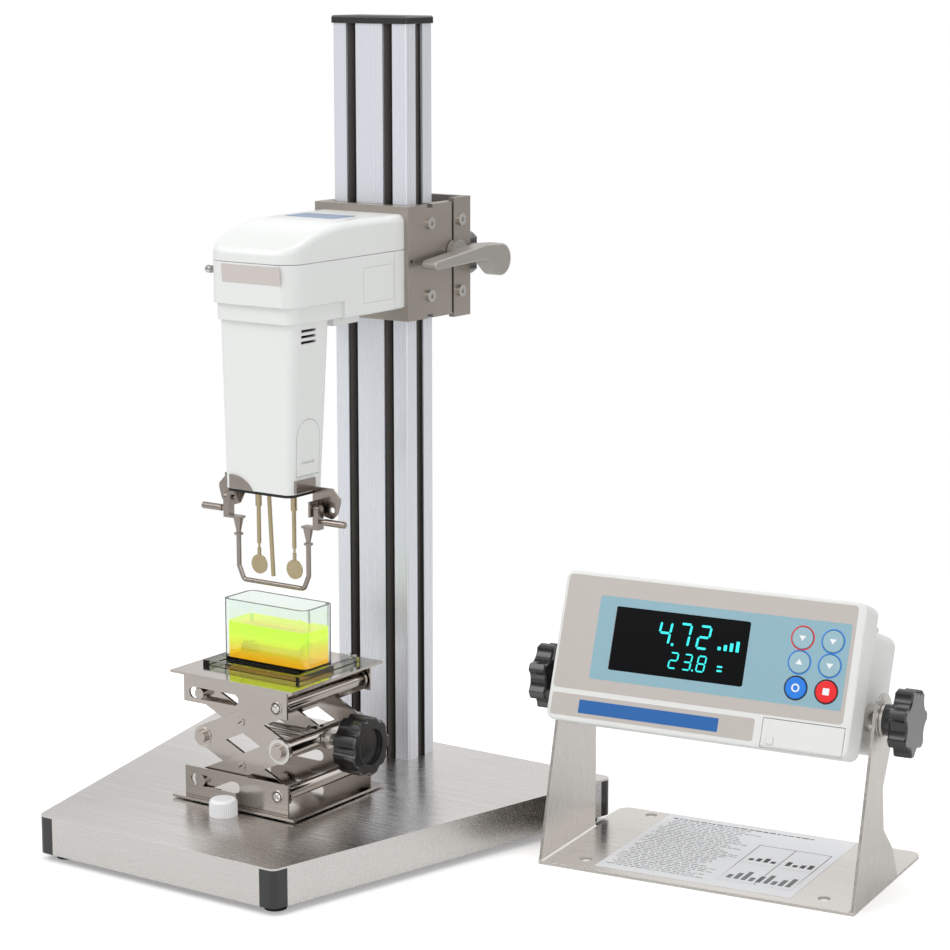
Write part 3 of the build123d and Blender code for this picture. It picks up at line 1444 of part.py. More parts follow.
def make_display_rear_shell():
    """The rear housing with its top ridge, tilt bosses and recessed socket panel."""
    radius = shell_corner_radius
    shell = face_panel(shell_half_width, shell_bottom_v, shell_top_v, radius, bezel_depth, shell_depth)
    shell = fillet(shell.faces().sort_by(Axis.Z)[0].edges(), shell_edge_radius)
    ridge = face_block(-shell_half_width + radius, shell_half_width - radius, shell_top_v,
                       shell_top_v + shell_ridge_height, shell_ridge_front, shell_ridge_back)
    ridge = chamfer(ridge.faces().sort_by(Axis.Y)[-1].edges(), shell_wall)
    shell += ridge
    shell -= face_panel(shell_half_width - shell_wall, shell_bottom_v + shell_wall,
                        shell_top_v - shell_wall, radius - shell_wall, bezel_depth,
                        shell_depth - shell_wall)
    pivot = (face_bottom_to_pivot, -face_to_pivot)
    reach = upright_inner_x - tilt_washer_gap
    for low, high in ((shell_half_width - shell_wall, reach), (-reach, -shell_half_width + shell_wall)):
        shell += rod_along("x", low, high, pivot, tilt_boss_radius)
    shell -= rod_along("x", -reach, reach, pivot, tilt_stud_radius + running_clearance)
    panel_low = shell_bottom_v + radius
    shell -= face_block(-shell_half_width / 2, shell_half_width / 2, panel_low,
                        panel_low + socket_panel_height, shell_depth - socket_recess_depth, shell_depth)
    recess_back = socket_recess_depth - shell_depth
    for socket_u in socket_places:
        place = (socket_u, panel_low + socket_panel_height / 2)
        mouth_radius = socket_radius - socket_recess_depth
        shell += rod_along("z", -shell_depth, recess_back, place, socket_radius)
        shell -= rod_along("z", -shell_depth, recess_back, place, mouth_radius)
    return face_place * shell


def make_display_window():
    """The smoked window over the display."""
    pane = face_block(window_left_u, window_right_u, window_bottom_v, window_top_v,
                      window_recess, window_recess + window_thickness)
    return face_place * pane


def make_display_module():
    """The display glass behind the window."""
    margin = module_margin
    module = face_block(window_left_u - margin, window_right_u + margin, window_bottom_v - margin,
                        window_top_v + margin, bezel_wall, bezel_wall + module_depth)
    return face_place * module


def make_display_board():
    """The main circuit board with a transformer and two chips."""
    front = bezel_wall + module_depth
    edge = bezel_wall + board_margin
    back = front + board_thickness
    board = face_block(-face_half_width + edge, face_half_width - edge, edge + door_height,
                       face_height - edge, front, back)
    board += face_block(transformer_u, transformer_u + transformer_size, board_part_v,
                        board_part_v + transformer_size, back, back + transformer_height)
    for chip_u in chip_places:
        board += face_block(chip_u, chip_u + chip_size, board_part_v, board_part_v + chip_size,
                            back, back + chip_height)
    return face_place * board


def make_key(key_u, key_v):
    """A round key with a retaining flange and a stem to its switch."""
    cap = rod_along("z", -key_cap_depth, key_proud, (key_u, key_v), key_radius)
    cap = fillet(cap.faces().sort_by(Axis.Z)[-1].edges(), key_edge_radius)
    flange_top = -bezel_wall - key_flange_gap
    cap += rod_along("z", flange_top - key_flange_height, flange_top, (key_u, key_v),
                     key_radius + key_flange_margin)
    stem_end = bezel_wall + module_depth - key_travel - key_switch_gap
    cap += rod_along("z", -stem_end, -key_cap_depth, (key_u, key_v), key_stem_radius)
    return face_place * cap


def make_tilt_knob(side):
    """A lobed tilt knob with its stud, and the washer under it."""
    pivot = (tilt_y, tilt_z)
    outer = tilt_knob_inner + tilt_knob_thickness
    outline = lobed_disc(tilt_knob_radius, tilt_knob_lobes, tilt_knob_bite_radius, tilt_knob_bite_depth)
    knob = side_profile(Pos(*pivot) * outline, tilt_knob_inner, outer)
    ends = knob.faces().filter_by(Axis.X)
    knob = chamfer([edge for face in ends for edge in face.edges()], knob_edge)
    half = bracket_width / 2
    washer_end = half + tilt_washer_gap + tilt_washer_thickness
    hub = rod_along("x", washer_end, tilt_knob_inner, pivot, tilt_hub_radius)
    stud_start = upright_inner_x - tilt_washer_gap - tilt_stud_reach
    knob += hub + rod_along("x", stud_start, tilt_knob_inner, pivot, tilt_stud_radius)
    washer = rod_along("x", half + tilt_washer_gap, washer_end, pivot, tilt_washer_radius)
    washer -= rod_along("x", half, washer_end, pivot, tilt_stud_radius)
    pieces = [knob, washer]
    if side < 0:
        pieces = [mirror(piece, Plane.YZ) for piece in pieces]
    return [bracket_place * piece for piece in pieces]


def all_pieces():
    """Every node's name and its solid or solids, in the stand's frame."""
    pieces = {
        "base_tray": make_base_tray(),
        "base_corner_blocks": make_base_corner_blocks(),
        "base_feet": make_base_feet(),
        "column": make_column(),
        "column_cap": make_column_cap(),
        "column_anchor": make_column_anchor(),
        "carriage": make_carriage(),
        "carriage_rear_block": make_carriage_rear_block(),
        "carriage_screws": make_carriage_screws(),
        "carriage_liners": make_carriage_liners(),
        "brake_pad": make_brake_pad(),
        "clamp_lever": make_clamp_lever(),
        "lever_shaft": make_lever_shaft(),
        "lock_knob": make_lock_knob(),
        "head_top_cover": make_head_top_cover(),
        "head_body": make_head_body(),
        "head_board": make_head_board(),
        "sensor_housing": make_sensor_housing(),
        "side_cover": make_side_cover(),
        "housing_gasket": make_housing_gasket(),
        "drive_frame": make_drive_frame(),
        "drive_coils": make_drive_coils(),
        "spring_plates": make_spring_plates(),
        "displacement_sensors": make_displacement_sensors(),
        "sensor_plates": make_sensor_plates(),
        "temperature_sensor": probe_bar(probe_radius),
        "protector_brackets": make_protector_brackets(),
        "protector_bail": make_protector_bail(),
        "protector_handles": make_protector_handles(),
        "jack_base": make_jack_base(),
        "jack_lower_fixed_arms": make_jack_lower_fixed_arms(),
        "jack_lower_sliding_arms": make_jack_lower_sliding_arms(),
        "jack_upper_fixed_arms": make_jack_upper_fixed_arms(),
        "jack_upper_sliding_arms": make_jack_upper_sliding_arms(),
        "jack_lower_slide_rod": slide_rod(jack_low_z),
        "jack_upper_slide_rod": slide_rod(jack_high_z),
        "jack_nut_rod": mid_rod(jack_slide_x),
        "jack_thrust_rod": mid_rod(jack_fixed_x),
        "jack_spindle": make_jack_spindle(),
        "jack_knob": make_jack_knob(),
        "jack_top_plate": make_jack_top_plate(),
        "cell_rails": make_cell_rails(),
        "glass_cell": make_glass_cell(),
        "sample_liquid": make_sample_liquid(),
        "loose_cap": make_loose_cap(),
        "display_bracket": make_display_bracket(),
        "display_bezel": make_display_bezel(),
        "display_rear_shell": make_display_rear_shell(),
        "display_window": make_display_window(),
        "display_module": make_display_module(),
        "display_board": make_display_board(),
        "display_door": make_display_door(),
        "left_tilt_knob": make_tilt_knob(-1),
        "right_tilt_knob": make_tilt_knob(1),
    }
    for name, key_u, key_v in key_places():
        pieces[name] = make_key(key_u, key_v)
    return pieces


def write_piece(name, shape):
    """Write one node's STEP file, moved to the set's own origin."""
    solids = shape if isinstance(shape, list) else [shape]
    moved = [set_middle * solid for entry in solids for solid in entry.solids()]
    piece = moved[0] if len(moved) == 1 else Compound(children=moved)
    export_step(piece, f"parts/{name}.step")
    print(name, len(moved), round(sum(solid.volume for solid in moved)))


if __name__ == "__main__":
    os.makedirs("parts", exist_ok=True)
    for piece_name, piece_shape in all_pieces().items():
        write_piece(piece_name, piece_shape)
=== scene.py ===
import json
import math
import random

import bpy
from mathutils import Matrix, Vector


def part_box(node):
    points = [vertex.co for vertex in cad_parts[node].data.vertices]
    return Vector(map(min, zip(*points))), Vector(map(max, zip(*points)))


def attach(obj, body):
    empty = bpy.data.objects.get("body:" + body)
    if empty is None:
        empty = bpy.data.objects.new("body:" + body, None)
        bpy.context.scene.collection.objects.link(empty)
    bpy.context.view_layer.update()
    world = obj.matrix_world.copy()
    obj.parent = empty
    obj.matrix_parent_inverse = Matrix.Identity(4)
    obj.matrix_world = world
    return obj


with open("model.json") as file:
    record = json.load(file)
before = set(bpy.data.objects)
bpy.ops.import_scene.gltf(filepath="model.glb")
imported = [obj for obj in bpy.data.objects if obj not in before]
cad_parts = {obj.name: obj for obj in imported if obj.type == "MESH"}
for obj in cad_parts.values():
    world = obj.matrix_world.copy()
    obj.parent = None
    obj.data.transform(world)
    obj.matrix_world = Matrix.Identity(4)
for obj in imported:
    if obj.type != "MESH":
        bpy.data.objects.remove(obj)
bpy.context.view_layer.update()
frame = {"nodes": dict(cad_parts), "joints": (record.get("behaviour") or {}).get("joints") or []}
print("frame loaded")

mm = 0.001
scene = bpy.context.scene
nodes = frame["nodes"]
jointOf = {joint["name"]: joint for joint in frame["joints"]}
trayLow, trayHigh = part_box("base_tray")
standX = (trayLow.x + trayHigh.x) / 2
standY = trayLow.y


def onStand(x, y, z):
    # a point of the stand: millimetres right of its middle, behind its front edge and above the bench
    return Vector((standX + x * mm, standY + y * mm, z * mm))


def planeAt(origin, across, upward):
    # a drawing plane: across and upward lie in it, the third axis points out of it
    across = Vector(across).normalized()
    outward = across.cross(Vector(upward)).normalized()
    upward = outward.cross(across)
    turn = Matrix((across, upward, outward)).transposed().to_4x4()
    return Matrix.Translation(origin) @ turn


# the display's face and its bracket's floor, worked out from the tilt pivot and a key's travel
displayShape = {"pivotDepth": 42.0, "pivotHeight": 30.0, "pivotForward": 19.0}
tiltPivot = Vector(jointOf["display_tilt"]["pos_m"])
faceAcross = Vector(jointOf["display_tilt"]["axis"])
faceOutward = -Vector(jointOf["key_upper_left_press"]["axis"])
faceUpward = faceOutward.cross(faceAcross)
faceOrigin = (tiltPivot + faceOutward * displayShape["pivotDepth"] * mm
              - faceUpward * displayShape["pivotHeight"] * mm)
facePlane = planeAt(faceOrigin, faceAcross, faceUpward)
bracketBack = Vector((0, 0, 1)).cross(faceAcross)
bracketOrigin = tiltPivot + bracketBack * displayShape["pivotForward"] * mm
bracketOrigin.z = 0
floorPlane = planeAt(bracketOrigin, faceAcross, bracketBack)
rightPlane = planeAt(onStand(0, 0, 0), (0, 1, 0), (0, 0, 1))
topPlane = planeAt(onStand(0, 0, 0), (1, 0, 0), (0, 1, 0))


def screen(red, green, blue):
    # a colour written as it looks on a screen
    def linear(value):
        value /= 255
        return value / 12.92 if value < 0.04045 else ((value + 0.055) / 1.055) ** 2.4
    return linear(red), linear(green), linear(blue)


# shared effects
def feed(tree, value, socket):
    # links a socket to another one, or sets it to a plain value
    if hasattr(value, "is_linked"):
        tree.links.new(value, socket)
    else:
        socket.default_value = value


def newGroup(name, inputs, outputs):
    group = bpy.data.node_groups.new(name, "ShaderNodeTree")
    for label, kind, value in inputs:
        socket = group.interface.new_socket(label, in_out="INPUT", socket_type=kind)
        socket.default_value = value
    for label, kind in outputs:
        group.interface.new_socket(label, in_out="OUTPUT", socket_type=kind)
    return group, group.nodes.new("NodeGroupInput"), group.nodes.new("NodeGroupOutput")


def addNoise(tree, scale, detail, vector):
    noise = tree.nodes.new("ShaderNodeTexNoise")
    noise.inputs["Detail"].default_value = detail
    feed(tree, scale, noise.inputs["Scale"])
    tree.links.new(vector, noise.inputs["Vector"])
    return noise.outputs["Fac"]


def addRange(tree, value, low, high, fromLow=0.25, fromHigh=0.75):
    spread = tree.nodes.new("ShaderNodeMapRange")
    limits = {"From Min": fromLow, "From Max": fromHigh, "To Min": low, "To Max": high, "Value": value}
    for label, limit in limits.items():
        feed(tree, limit, spread.inputs[label])
    return spread.outputs["Result"]


def addMix(tree, factor, first, second, kind="FLOAT"):
    mix = tree.nodes.new("ShaderNodeMix")
    mix.data_type = kind
    for label, value in (("Factor", factor), ("A", first), ("B", second)):
        feed(tree, value, mix.inputs[label])
    return mix.outputs["Result"]


def addMath(tree, operation, first, second):
    step = tree.nodes.new("ShaderNodeMath")
    step.operation = operation
    feed(tree, first, step.inputs[0])
    feed(tree, second, step.inputs[1])
    return step.outputs["Value"]


def makeMouldGroup():
    # fine moulding grain and slow changes of tone
    inputs = [("Grain Scale", "NodeSocketFloat", 900.0), ("Tone Scale", "NodeSocketFloat", 14.0)]
    outputs = [("Grain", "NodeSocketFloat"), ("Tone", "NodeSocketFloat")]
    group, start, end = newGroup("mouldedSurface", inputs, outputs)
    place = group.nodes.new("ShaderNodeTexCoord")
    grain = addNoise(group, start.outputs["Grain Scale"], 3.0, place.outputs["Object"])
    tone = addNoise(group, start.outputs["Tone Scale"], 2.0, place.outputs["Object"])
    group.links.new(grain, end.inputs["Grain"])
    group.links.new(tone, end.inputs["Tone"])
    return group


def makeBrushGroup():
    # brushing lines that run along Stretch's small axes, and smears over them
    inputs = [("Stretch", "NodeSocketVector", (1, 1, 1)), ("Smear Scale", "NodeSocketFloat", 9.0)]
    outputs = [("Lines", "NodeSocketFloat"), ("Smear", "NodeSocketFloat")]
    group, start, end = newGroup("brushedSurface", inputs, outputs)
    place = group.nodes.new("ShaderNodeTexCoord")
    scaled = group.nodes.new("ShaderNodeVectorMath")
    scaled.operation = "MULTIPLY"
    group.links.new(place.outputs["Object"], scaled.inputs[0])
    group.links.new(start.outputs["Stretch"], scaled.inputs[1])
    lines = addNoise(group, 1.0, 4.0, scaled.outputs["Vector"])
    smear = addNoise(group, start.outputs["Smear Scale"], 3.0, place.outputs["Object"])
    group.links.new(lines, end.inputs["Lines"])
    group.links.new(smear, end.inputs["Smear"])
    return group


def makeEdgeGroup():
    # a normal that rounds sharp edges
    group, start, end = newGroup("softEdge", [("Radius", "NodeSocketFloat", 0.0004)],
                                 [("Normal", "NodeSocketVector")])
    bevel = group.nodes.new("ShaderNodeBevel")
    bevel.samples = 4
    group.links.new(start.outputs["Radius"], bevel.inputs["Radius"])
    group.links.new(bevel.outputs["Normal"], end.inputs["Normal"])
    return group


mouldGroup = makeMouldGroup()
brushGroup = makeBrushGroup()
edgeGroup = makeEdgeGroup()


def placeGroup(tree, group, values):
    node = tree.nodes.new("ShaderNodeGroup")
    node.node_tree = group
    for label, value in values.items():
        node.inputs[label].default_value = value
    return node


# materials: a look's values, with these where it names none
plainLook = {
    "metal": 0.0, "ior": 1.5, "coat": 0.0, "coatRough": 0.03, "anisotropy": 0.0, "clear": 0.0,
    "shine": 0.5,
}
mouldedLook = {**plainLook, "grain": 900.0, "tone": 14.0, "tint": 0.03, "roughSpread": 0.05, "bump": 0.15,
               "bumpDepth": 0.1, "edge": 0.4}
brushedLook = {**plainLook, "smear": 9.0, "tint": 0.06, "roughSpread": 0.06, "bump": 0.12,
               "bumpDepth": 0.05, "edge": 0.25}
clearLook = {**plainLook, "grain": 60.0, "tone": 30.0, "bump": 0.05, "bumpDepth": 0.05, "edge": 0}
finishes = {}


def newFinish(name, look):
    # the Principled shader with this look's plain values on its own sockets
    material = bpy.data.materials.new(name)
    finishes[name] = material
    material.use_nodes = True
    tree = material.node_tree
    shader = tree.nodes["Principled BSDF"]
    plain = {"Metallic": "metal", "Roughness": "rough", "IOR": "ior", "Coat Weight": "coat",
             "Coat Roughness": "coatRough", "Anisotropic": "anisotropy", "Transmission Weight": "clear",
             "Specular IOR Level": "shine"}
    for label, key in plain.items():
        shader.inputs[label].default_value = look[key]
    shader.inputs["Base Color"].default_value = (*look["colour"], 1)
    material.diffuse_color = (*look["colour"], 1)
    return material, tree, shader


def tintBy(tree, shader, mask, look):
    # lightens and darkens the look's colour a little where the mask is high or low
    low = (*[part * (1 - look["tint"]) for part in look["colour"]], 1)
    high = (*[min(1, part * (1 + look["tint"])) for part in look["colour"]], 1)
    tree.links.new(addMix(tree, mask, low, high, "RGBA"), shader.inputs["Base Color"])


def roughenBy(tree, shader, mask, look):
    low, high = look["rough"] - look["roughSpread"], look["rough"] + look["roughSpread"]
    tree.links.new(addRange(tree, mask, low, high), shader.inputs["Roughness"])


def bumpBy(tree, shader, height, look):
    bump = tree.nodes.new("ShaderNodeBump")
    bump.inputs["Strength"].default_value = look["bump"]
    bump.inputs["Distance"].default_value = look["bumpDepth"] * mm
    tree.links.new(height, bump.inputs["Height"])
    if look["edge"]:
        edge = placeGroup(tree, edgeGroup, {"Radius": look["edge"] * mm})
        tree.links.new(edge.outputs["Normal"], bump.inputs["Normal"])
    tree.links.new(bump.outputs["Normal"], shader.inputs["Normal"])


def moulded(name, **values):
    look = {**mouldedLook, **values}
    material, tree, shader = newFinish(name, look)
    surface = placeGroup(tree, mouldGroup, {"Grain Scale": look["grain"], "Tone Scale": look["tone"]})
    tintBy(tree, shader, surface.outputs["Tone"], look)
    roughenBy(tree, shader, surface.outputs["Grain"], look)
    bumpBy(tree, shader, surface.outputs["Grain"], look)
    return material


def brushed(name, **values):
    look = {**brushedLook, **values}
    material, tree, shader = newFinish(name, look)
    surface = placeGroup(tree, brushGroup, {"Stretch": look["stretch"], "Smear Scale": look["smear"]})
    tintBy(tree, shader, surface.outputs["Smear"], look)
    roughenBy(tree, shader, surface.outputs["Lines"], look)
    bumpBy(tree, shader, surface.outputs["Lines"], look)
    return material


def clear(name, **values):
    look = {**clearLook, **values}
    material, tree, shader = newFinish(name, look)
    surface = placeGroup(tree, mouldGroup, {"Grain Scale": look["grain"], "Tone Scale": look["tone"]})
    bumpBy(tree, shader, surface.outputs["Grain"], look)
    return material


def glowing(name, glow, **values):
    material = moulded(name, **values)
    shader = material.node_tree.nodes["Principled BSDF"]
    shader.inputs["Emission Color"].default_value = (*values["colour"], 1)
    shader.inputs["Emission Strength"].default_value = glow
    return material


# the sample's colours at the bottom and above, where the change ends, and the strength of its painted
# glow
liquidShape = {"turnsAt": 0.7, "low": screen(238, 190, 0), "high": screen(196, 242, 0), "glow": 0.3}


def liquidWithPaintedGlow(name, **values):
    # the sample: its colour runs from lime above to amber towards the bottom, and it glows in that colour
    # as a painted glow, for the liquid is no lamp
    material, tree, shader = newFinish(name, {**plainLook, **values})
    low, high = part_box("sample_liquid")
    place = tree.nodes.new("ShaderNodeTexCoord")
    split = tree.nodes.new("ShaderNodeSeparateXYZ")
    tree.links.new(place.outputs["Object"], split.inputs["Vector"])
    top = low.z + (high.z - low.z) * liquidShape["turnsAt"]
    level = addRange(tree, split.outputs["Z"], 0.0, 1.0, low.z, top)
    colour = addMix(tree, level, (*liquidShape["low"], 1), (*liquidShape["high"], 1), "RGBA")
    for label in ("Base Color", "Emission Color"):
        tree.links.new(colour, shader.inputs[label])
    # painted light: the liquid glows though it is no lamp
    shader.inputs["Emission Strength"].default_value = liquidShape["glow"]
    return material


moulded("headPlastic", colour=screen(232, 234, 232), rough=0.32, coat=0.15, grain=1400.0, bump=0.05,
        tint=0.012, edge=0.5)
moulded("displayPlastic", colour=screen(226, 227, 224), rough=0.4, grain=1500.0, bump=0.08, tint=0.012)
moulded("blackPlastic", colour=screen(24, 24, 25), rough=0.22, coat=0.4, grain=1100.0, bump=0.06,
        edge=0.7)
moulded("rubber", colour=screen(26, 26, 27), rough=0.75, grain=700.0, bump=0.35, roughSpread=0.1)
moulded("slidePlastic", colour=screen(216, 214, 205), rough=0.5)
moulded("leverMetal", colour=screen(168, 164, 158), rough=0.38, metal=0.55, grain=520.0, bump=0.25,
        tint=0.06)
moulded("capPlastic", colour=screen(244, 245, 247), rough=0.38, edge=0.5)
moulded("circuitBoard", colour=screen(20, 92, 52), rough=0.45)
brushed("trayMetal", colour=screen(206, 203, 200), rough=0.27, metal=1.0, anisotropy=0.6,
        stretch=(12, 900, 900), smear=7.0, bump=0.1, tint=0.05)
brushed("bracketMetal", colour=screen(204, 200, 195), rough=0.28, metal=1.0, anisotropy=0.5,
        stretch=(20, 700, 20), smear=11.0, bump=0.1)
brushed("columnMetal", colour=screen(228, 231, 238), rough=0.3, metal=0.45, stretch=(600, 600, 6),
        smear=5.0, bump=0.08)
# painted shade: a darker colour for the insides of the column's slots
brushed("slotPaintedShade", colour=screen(96, 92, 88), rough=0.42, metal=0.6, stretch=(600, 600, 6), edge=0)
brushed("carriageMetal", colour=screen(168, 160, 152), rough=0.34, metal=0.8, stretch=(500, 500, 25),
        smear=22.0, tint=0.1, bump=0.15, edge=0.4)
brushed("brightMetal", colour=screen(205, 202, 198), rough=0.2, metal=1.0, stretch=(300, 300, 300),
        smear=60.0, bump=0.06)
brushed("jackMetal", colour=screen(178, 171, 165), rough=0.12, metal=1.0, stretch=(40, 500, 500),
        smear=25.0, bump=0.04, roughSpread=0.03, tint=0.06)
brushed("guardMetal", colour=screen(150, 141, 134), rough=0.22, metal=1.0, stretch=(400, 400, 400),
        smear=60.0, tint=0.12)
brushed("frameMetal", colour=screen(188, 189, 192), rough=0.4, metal=1.0, stretch=(400, 400, 60))
brushed("sensorGold", colour=screen(176, 162, 130), rough=0.24, metal=1.0, stretch=(700, 700, 90),
        smear=90.0, tint=0.1)
brushed("coilCopper", colour=screen(176, 98, 60), rough=0.35, metal=1.0, stretch=(60, 60, 2500))
clear("cellGlass", colour=screen(244, 252, 247), rough=0.0, clear=1.0, ior=1.5)
clear("guideClear", colour=screen(205, 212, 200), rough=0.04, clear=1.0, ior=1.49)
liquidWithPaintedGlow("sampleLiquid", colour=screen(206, 240, 10), rough=0.0, clear=0.8, ior=1.34)
moulded("windowBlack", colour=screen(8, 9, 11), rough=0.16, shine=0.1, bump=0.0, roughSpread=0.01,
        edge=0)
moulded("facePanelGrey", colour=screen(190, 183, 178), rough=0.42, grain=2200.0, edge=0)
moulded("facePanelBlue", colour=screen(140, 177, 191), rough=0.42, grain=2200.0, edge=0)
moulded("stripeBlue", colour=screen(14, 94, 166), rough=0.38, edge=0)
moulded("printBlack", colour=screen(30, 32, 36), rough=0.5, edge=0)
moulded("printGrey", colour=screen(120, 122, 124), rough=0.6, edge=0)
moulded("printWhite", colour=screen(240, 242, 244), rough=0.45, edge=0)
moulded("printBlue", colour=screen(40, 134, 226), rough=0.42, edge=0)
moulded("printRed", colour=screen(232, 28, 36), rough=0.42, edge=0)
moulded("keyPlain", colour=screen(150, 184, 196), rough=0.4, edge=0.3)
moulded("keyBlue", colour=screen(22, 124, 224), rough=0.35, edge=0.3)
moulded("keyRed", colour=screen(234, 20, 28), rough=0.35, edge=0.3)
moulded("namePlate", colour=screen(204, 196, 192), rough=0.4, grain=2400.0)
moulded("topLabel", colour=screen(128, 148, 178), rough=0.35, edge=0)
moulded("paper", colour=screen(240, 241, 244), rough=0.5, coat=0.3, tint=0.02)
moulded("seamShade", colour=screen(188, 188, 180), rough=0.6, edge=0)
glowing("digitGlow", glow=0.55, colour=screen(40, 214, 214), rough=0.4)

nodeFinishes = {
    "trayMetal": ["base_tray"],
    "blackPlastic": ["base_corner_blocks", "column_cap", "lock_knob", "jack_knob", "left_tilt_knob",
                     "right_tilt_knob", "displacement_sensors"],
    "rubber": ["base_feet", "housing_gasket"],
    "columnMetal": ["column"],
    "carriageMetal": ["carriage", "carriage_rear_block"],
    "brightMetal": ["column_anchor", "carriage_screws", "lever_shaft", "spring_plates", "jack_spindle"],
    "guardMetal": ["protector_bail", "protector_brackets", "protector_handles"],
    "slidePlastic": ["carriage_liners", "brake_pad"],
    "leverMetal": ["clamp_lever"],
    "headPlastic": ["head_top_cover", "head_body", "sensor_housing", "side_cover"],
    "circuitBoard": ["head_board", "display_board"],
    "frameMetal": ["drive_frame"],
    "coilCopper": ["drive_coils"],
    "sensorGold": ["sensor_plates", "temperature_sensor"],
    "jackMetal": ["jack_base", "jack_lower_fixed_arms", "jack_lower_sliding_arms",
                  "jack_upper_fixed_arms", "jack_upper_sliding_arms", "jack_lower_slide_rod",
                  "jack_upper_slide_rod", "jack_nut_rod", "jack_thrust_rod", "jack_top_plate"],
    "guideClear": ["cell_rails"],
    "cellGlass": ["glass_cell"],
    "sampleLiquid": ["sample_liquid"],
    "capPlastic": ["loose_cap"],
    "bracketMetal": ["display_bracket"],
    "displayPlastic": ["display_bezel", "display_rear_shell", "display_door"],
    "windowBlack": ["display_window", "display_module"],
    "keyPlain": ["key_upper_left", "key_upper_right", "key_centre_left", "key_centre_right"],
    "keyBlue": ["key_lower_left"],
    "keyRed": ["key_lower_right"],
}
for finishName, nodeNames in nodeFinishes.items():
    for nodeName in nodeNames:
        nodes[nodeName].data.materials.clear()
        nodes[nodeName].data.materials.append(finishes[finishName])


def paintFaces(nodeName, finishName, test):
    # gives another finish to the faces of a node whose middle passes the test
    mesh = nodes[nodeName].data
    mesh.materials.append(finishes[finishName])
    for polygon in mesh.polygons:
        if test(polygon.center):
            polygon.material_index = len(mesh.materials) - 1


def besideMiddle(point):
    # how far a point lies left or right of the display's middle, in millimetres
    return abs((point - tiltPivot).dot(faceAcross)) / mm


# steel studs and bosses on the display's tilt pivot
hinge = {"washerEnd": 109.2, "shellSide": 97.2}
for knobName in ("left_tilt_knob", "right_tilt_knob"):
    paintFaces(knobName, "brightMetal", lambda point: besideMiddle(point) < hinge["washerEnd"])
paintFaces("display_rear_shell", "brightMetal", lambda point: besideMiddle(point) > hinge["shellSide"])

# the column's slots get a darker, rougher finish than its faces: the darker colour is painted shade in
# the slots
columnLow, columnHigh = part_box("column")
slotDepth = 0.9


def inSlot(point):
    sides = (point.x - columnLow.x, columnHigh.x - point.x, point.y - columnLow.y, columnHigh.y - point.y)
    return min(sides) / mm > slotDepth and columnLow.z < point.z < columnHigh.z


paintFaces("column", "slotPaintedShade", inSlot)
print("materials placed")


# small builders
def settle(piece, body, finishName):
    piece.data.materials.clear()
    piece.data.materials.append(finishes[finishName])
    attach(piece, body)


def addMesh(name, vertices, faces):
    mesh = bpy.data.meshes.new(name)
    mesh.from_pydata(vertices, [], faces)
    mesh.validate()
    piece = bpy.data.objects.new(name, mesh)
    scene.collection.objects.link(piece)
    return piece


def arc(centreA, centreB, radius, start, end, steps):
    # points on an arc, angles in degrees
    points = []
    for index in range(steps + 1):
        turn = math.radians(start + (end - start) * index / steps)
        points.append((centreA + radius * math.cos(turn), centreB + radius * math.sin(turn)))
    return points


def circle(centreA, centreB, radius, steps=48):
    return arc(centreA, centreB, radius, 0, 360, steps)[:-1]


def rounded(left, right, low, high, radius, steps=6):
    # a rectangle with round corners
    corners = ((right - radius, high - radius, 0), (left + radius, high - radius, 90),
               (left + radius, low + radius, 180), (right - radius, low + radius, 270))
    points = []
    for a, b, start in corners:
        points += arc(a, b, radius, start, start + 90, steps)
    return points


def flatPiece(name, plane, outlines, low, high):
    # a flat sheet cut to outlines, holes included, between two heights above a plane
    curve = bpy.data.curves.new(name, "CURVE")
    curve.dimensions = "2D"
    curve.fill_mode = "BOTH"
    curve.extrude = (high - low) / 2 * mm
    for outline in outlines:
        spline = curve.splines.new("POLY")
        spline.points.add(len(outline) - 1)
        for point, (a, b) in zip(spline.points, outline):
            point.co = (a * mm, b * mm, 0, 1)
        spline.use_cyclic_u = True
    drawn = bpy.data.objects.new(name, curve)
    scene.collection.objects.link(drawn)
    bpy.context.view_layer.update()
    mesh = bpy.data.meshes.new_from_object(drawn.evaluated_get(bpy.context.evaluated_depsgraph_get()))
    bpy.data.objects.remove(drawn)
    mesh.transform(plane @ Matrix.Translation((0, 0, (low + high) / 2 * mm)))
    mesh.name = name
    piece = bpy.data.objects.new(name, mesh)
    scene.collection.objects.link(piece)
    return piece


def lathe(name, origin, axis, profile, steps=40, sharpAngle=35):
    # turns a profile of (radius, height) in millimetres round an axis
    axis = Vector(axis).normalized()
    plane = planeAt(origin, axis.orthogonal(), axis.cross(axis.orthogonal()))
    vertices, faces = [], []
    for radius, height in profile:
        vertices += [plane @ (Vector((a, b, height)) * mm) for a, b in circle(0, 0, radius, steps)]
    for row in range(len(profile) - 1):
        for index in range(steps):
            after = (index + 1) % steps
            faces.append((row * steps + index, row * steps + after,
                          (row + 1) * steps + after, (row + 1) * steps + index))
    last = (len(profile) - 1) * steps
    faces.append(tuple(range(steps))[::-1])
    faces.append(tuple(range(last, last + steps)))
    piece = addMesh(name, vertices, faces)
    piece.data.shade_smooth()
    piece.data.set_sharp_from_angle(angle=math.radians(sharpAngle))
    return piece


# measuring head: bare plate and label, panel outline, seam and side button
headTrim = {
    "frontY": 101.0, "lean": 2.0, "seamZ": 384.5, "stepZ": 357.0, "sideX": 35.5, "topZ": 407.5,
    "plate": (-20.5, 27.0, -13.2, -1.6), "plateCorner": 0.8, "plateThick": 0.25,
    "topLabel": (-25.0, 16.5, 171.5, 195.0), "labelCorner": 1.5, "labelThick": 0.15,
    "sidePanel": (177.0, 210.2, 353.0, 376.4), "panelCorner": 1.4, "panelLine": 0.25, "lineThick": 0.06,
    "backSeam": (211.0, 211.3, 346.5, 383.9), "seamCorner": 0.1,
    "button": (-35.5, 109.0, 377.5), "buttonProfile": [(2.6, -0.4), (2.6, 2.6), (2.2, 3.4), (1.2, 3.9)],
}


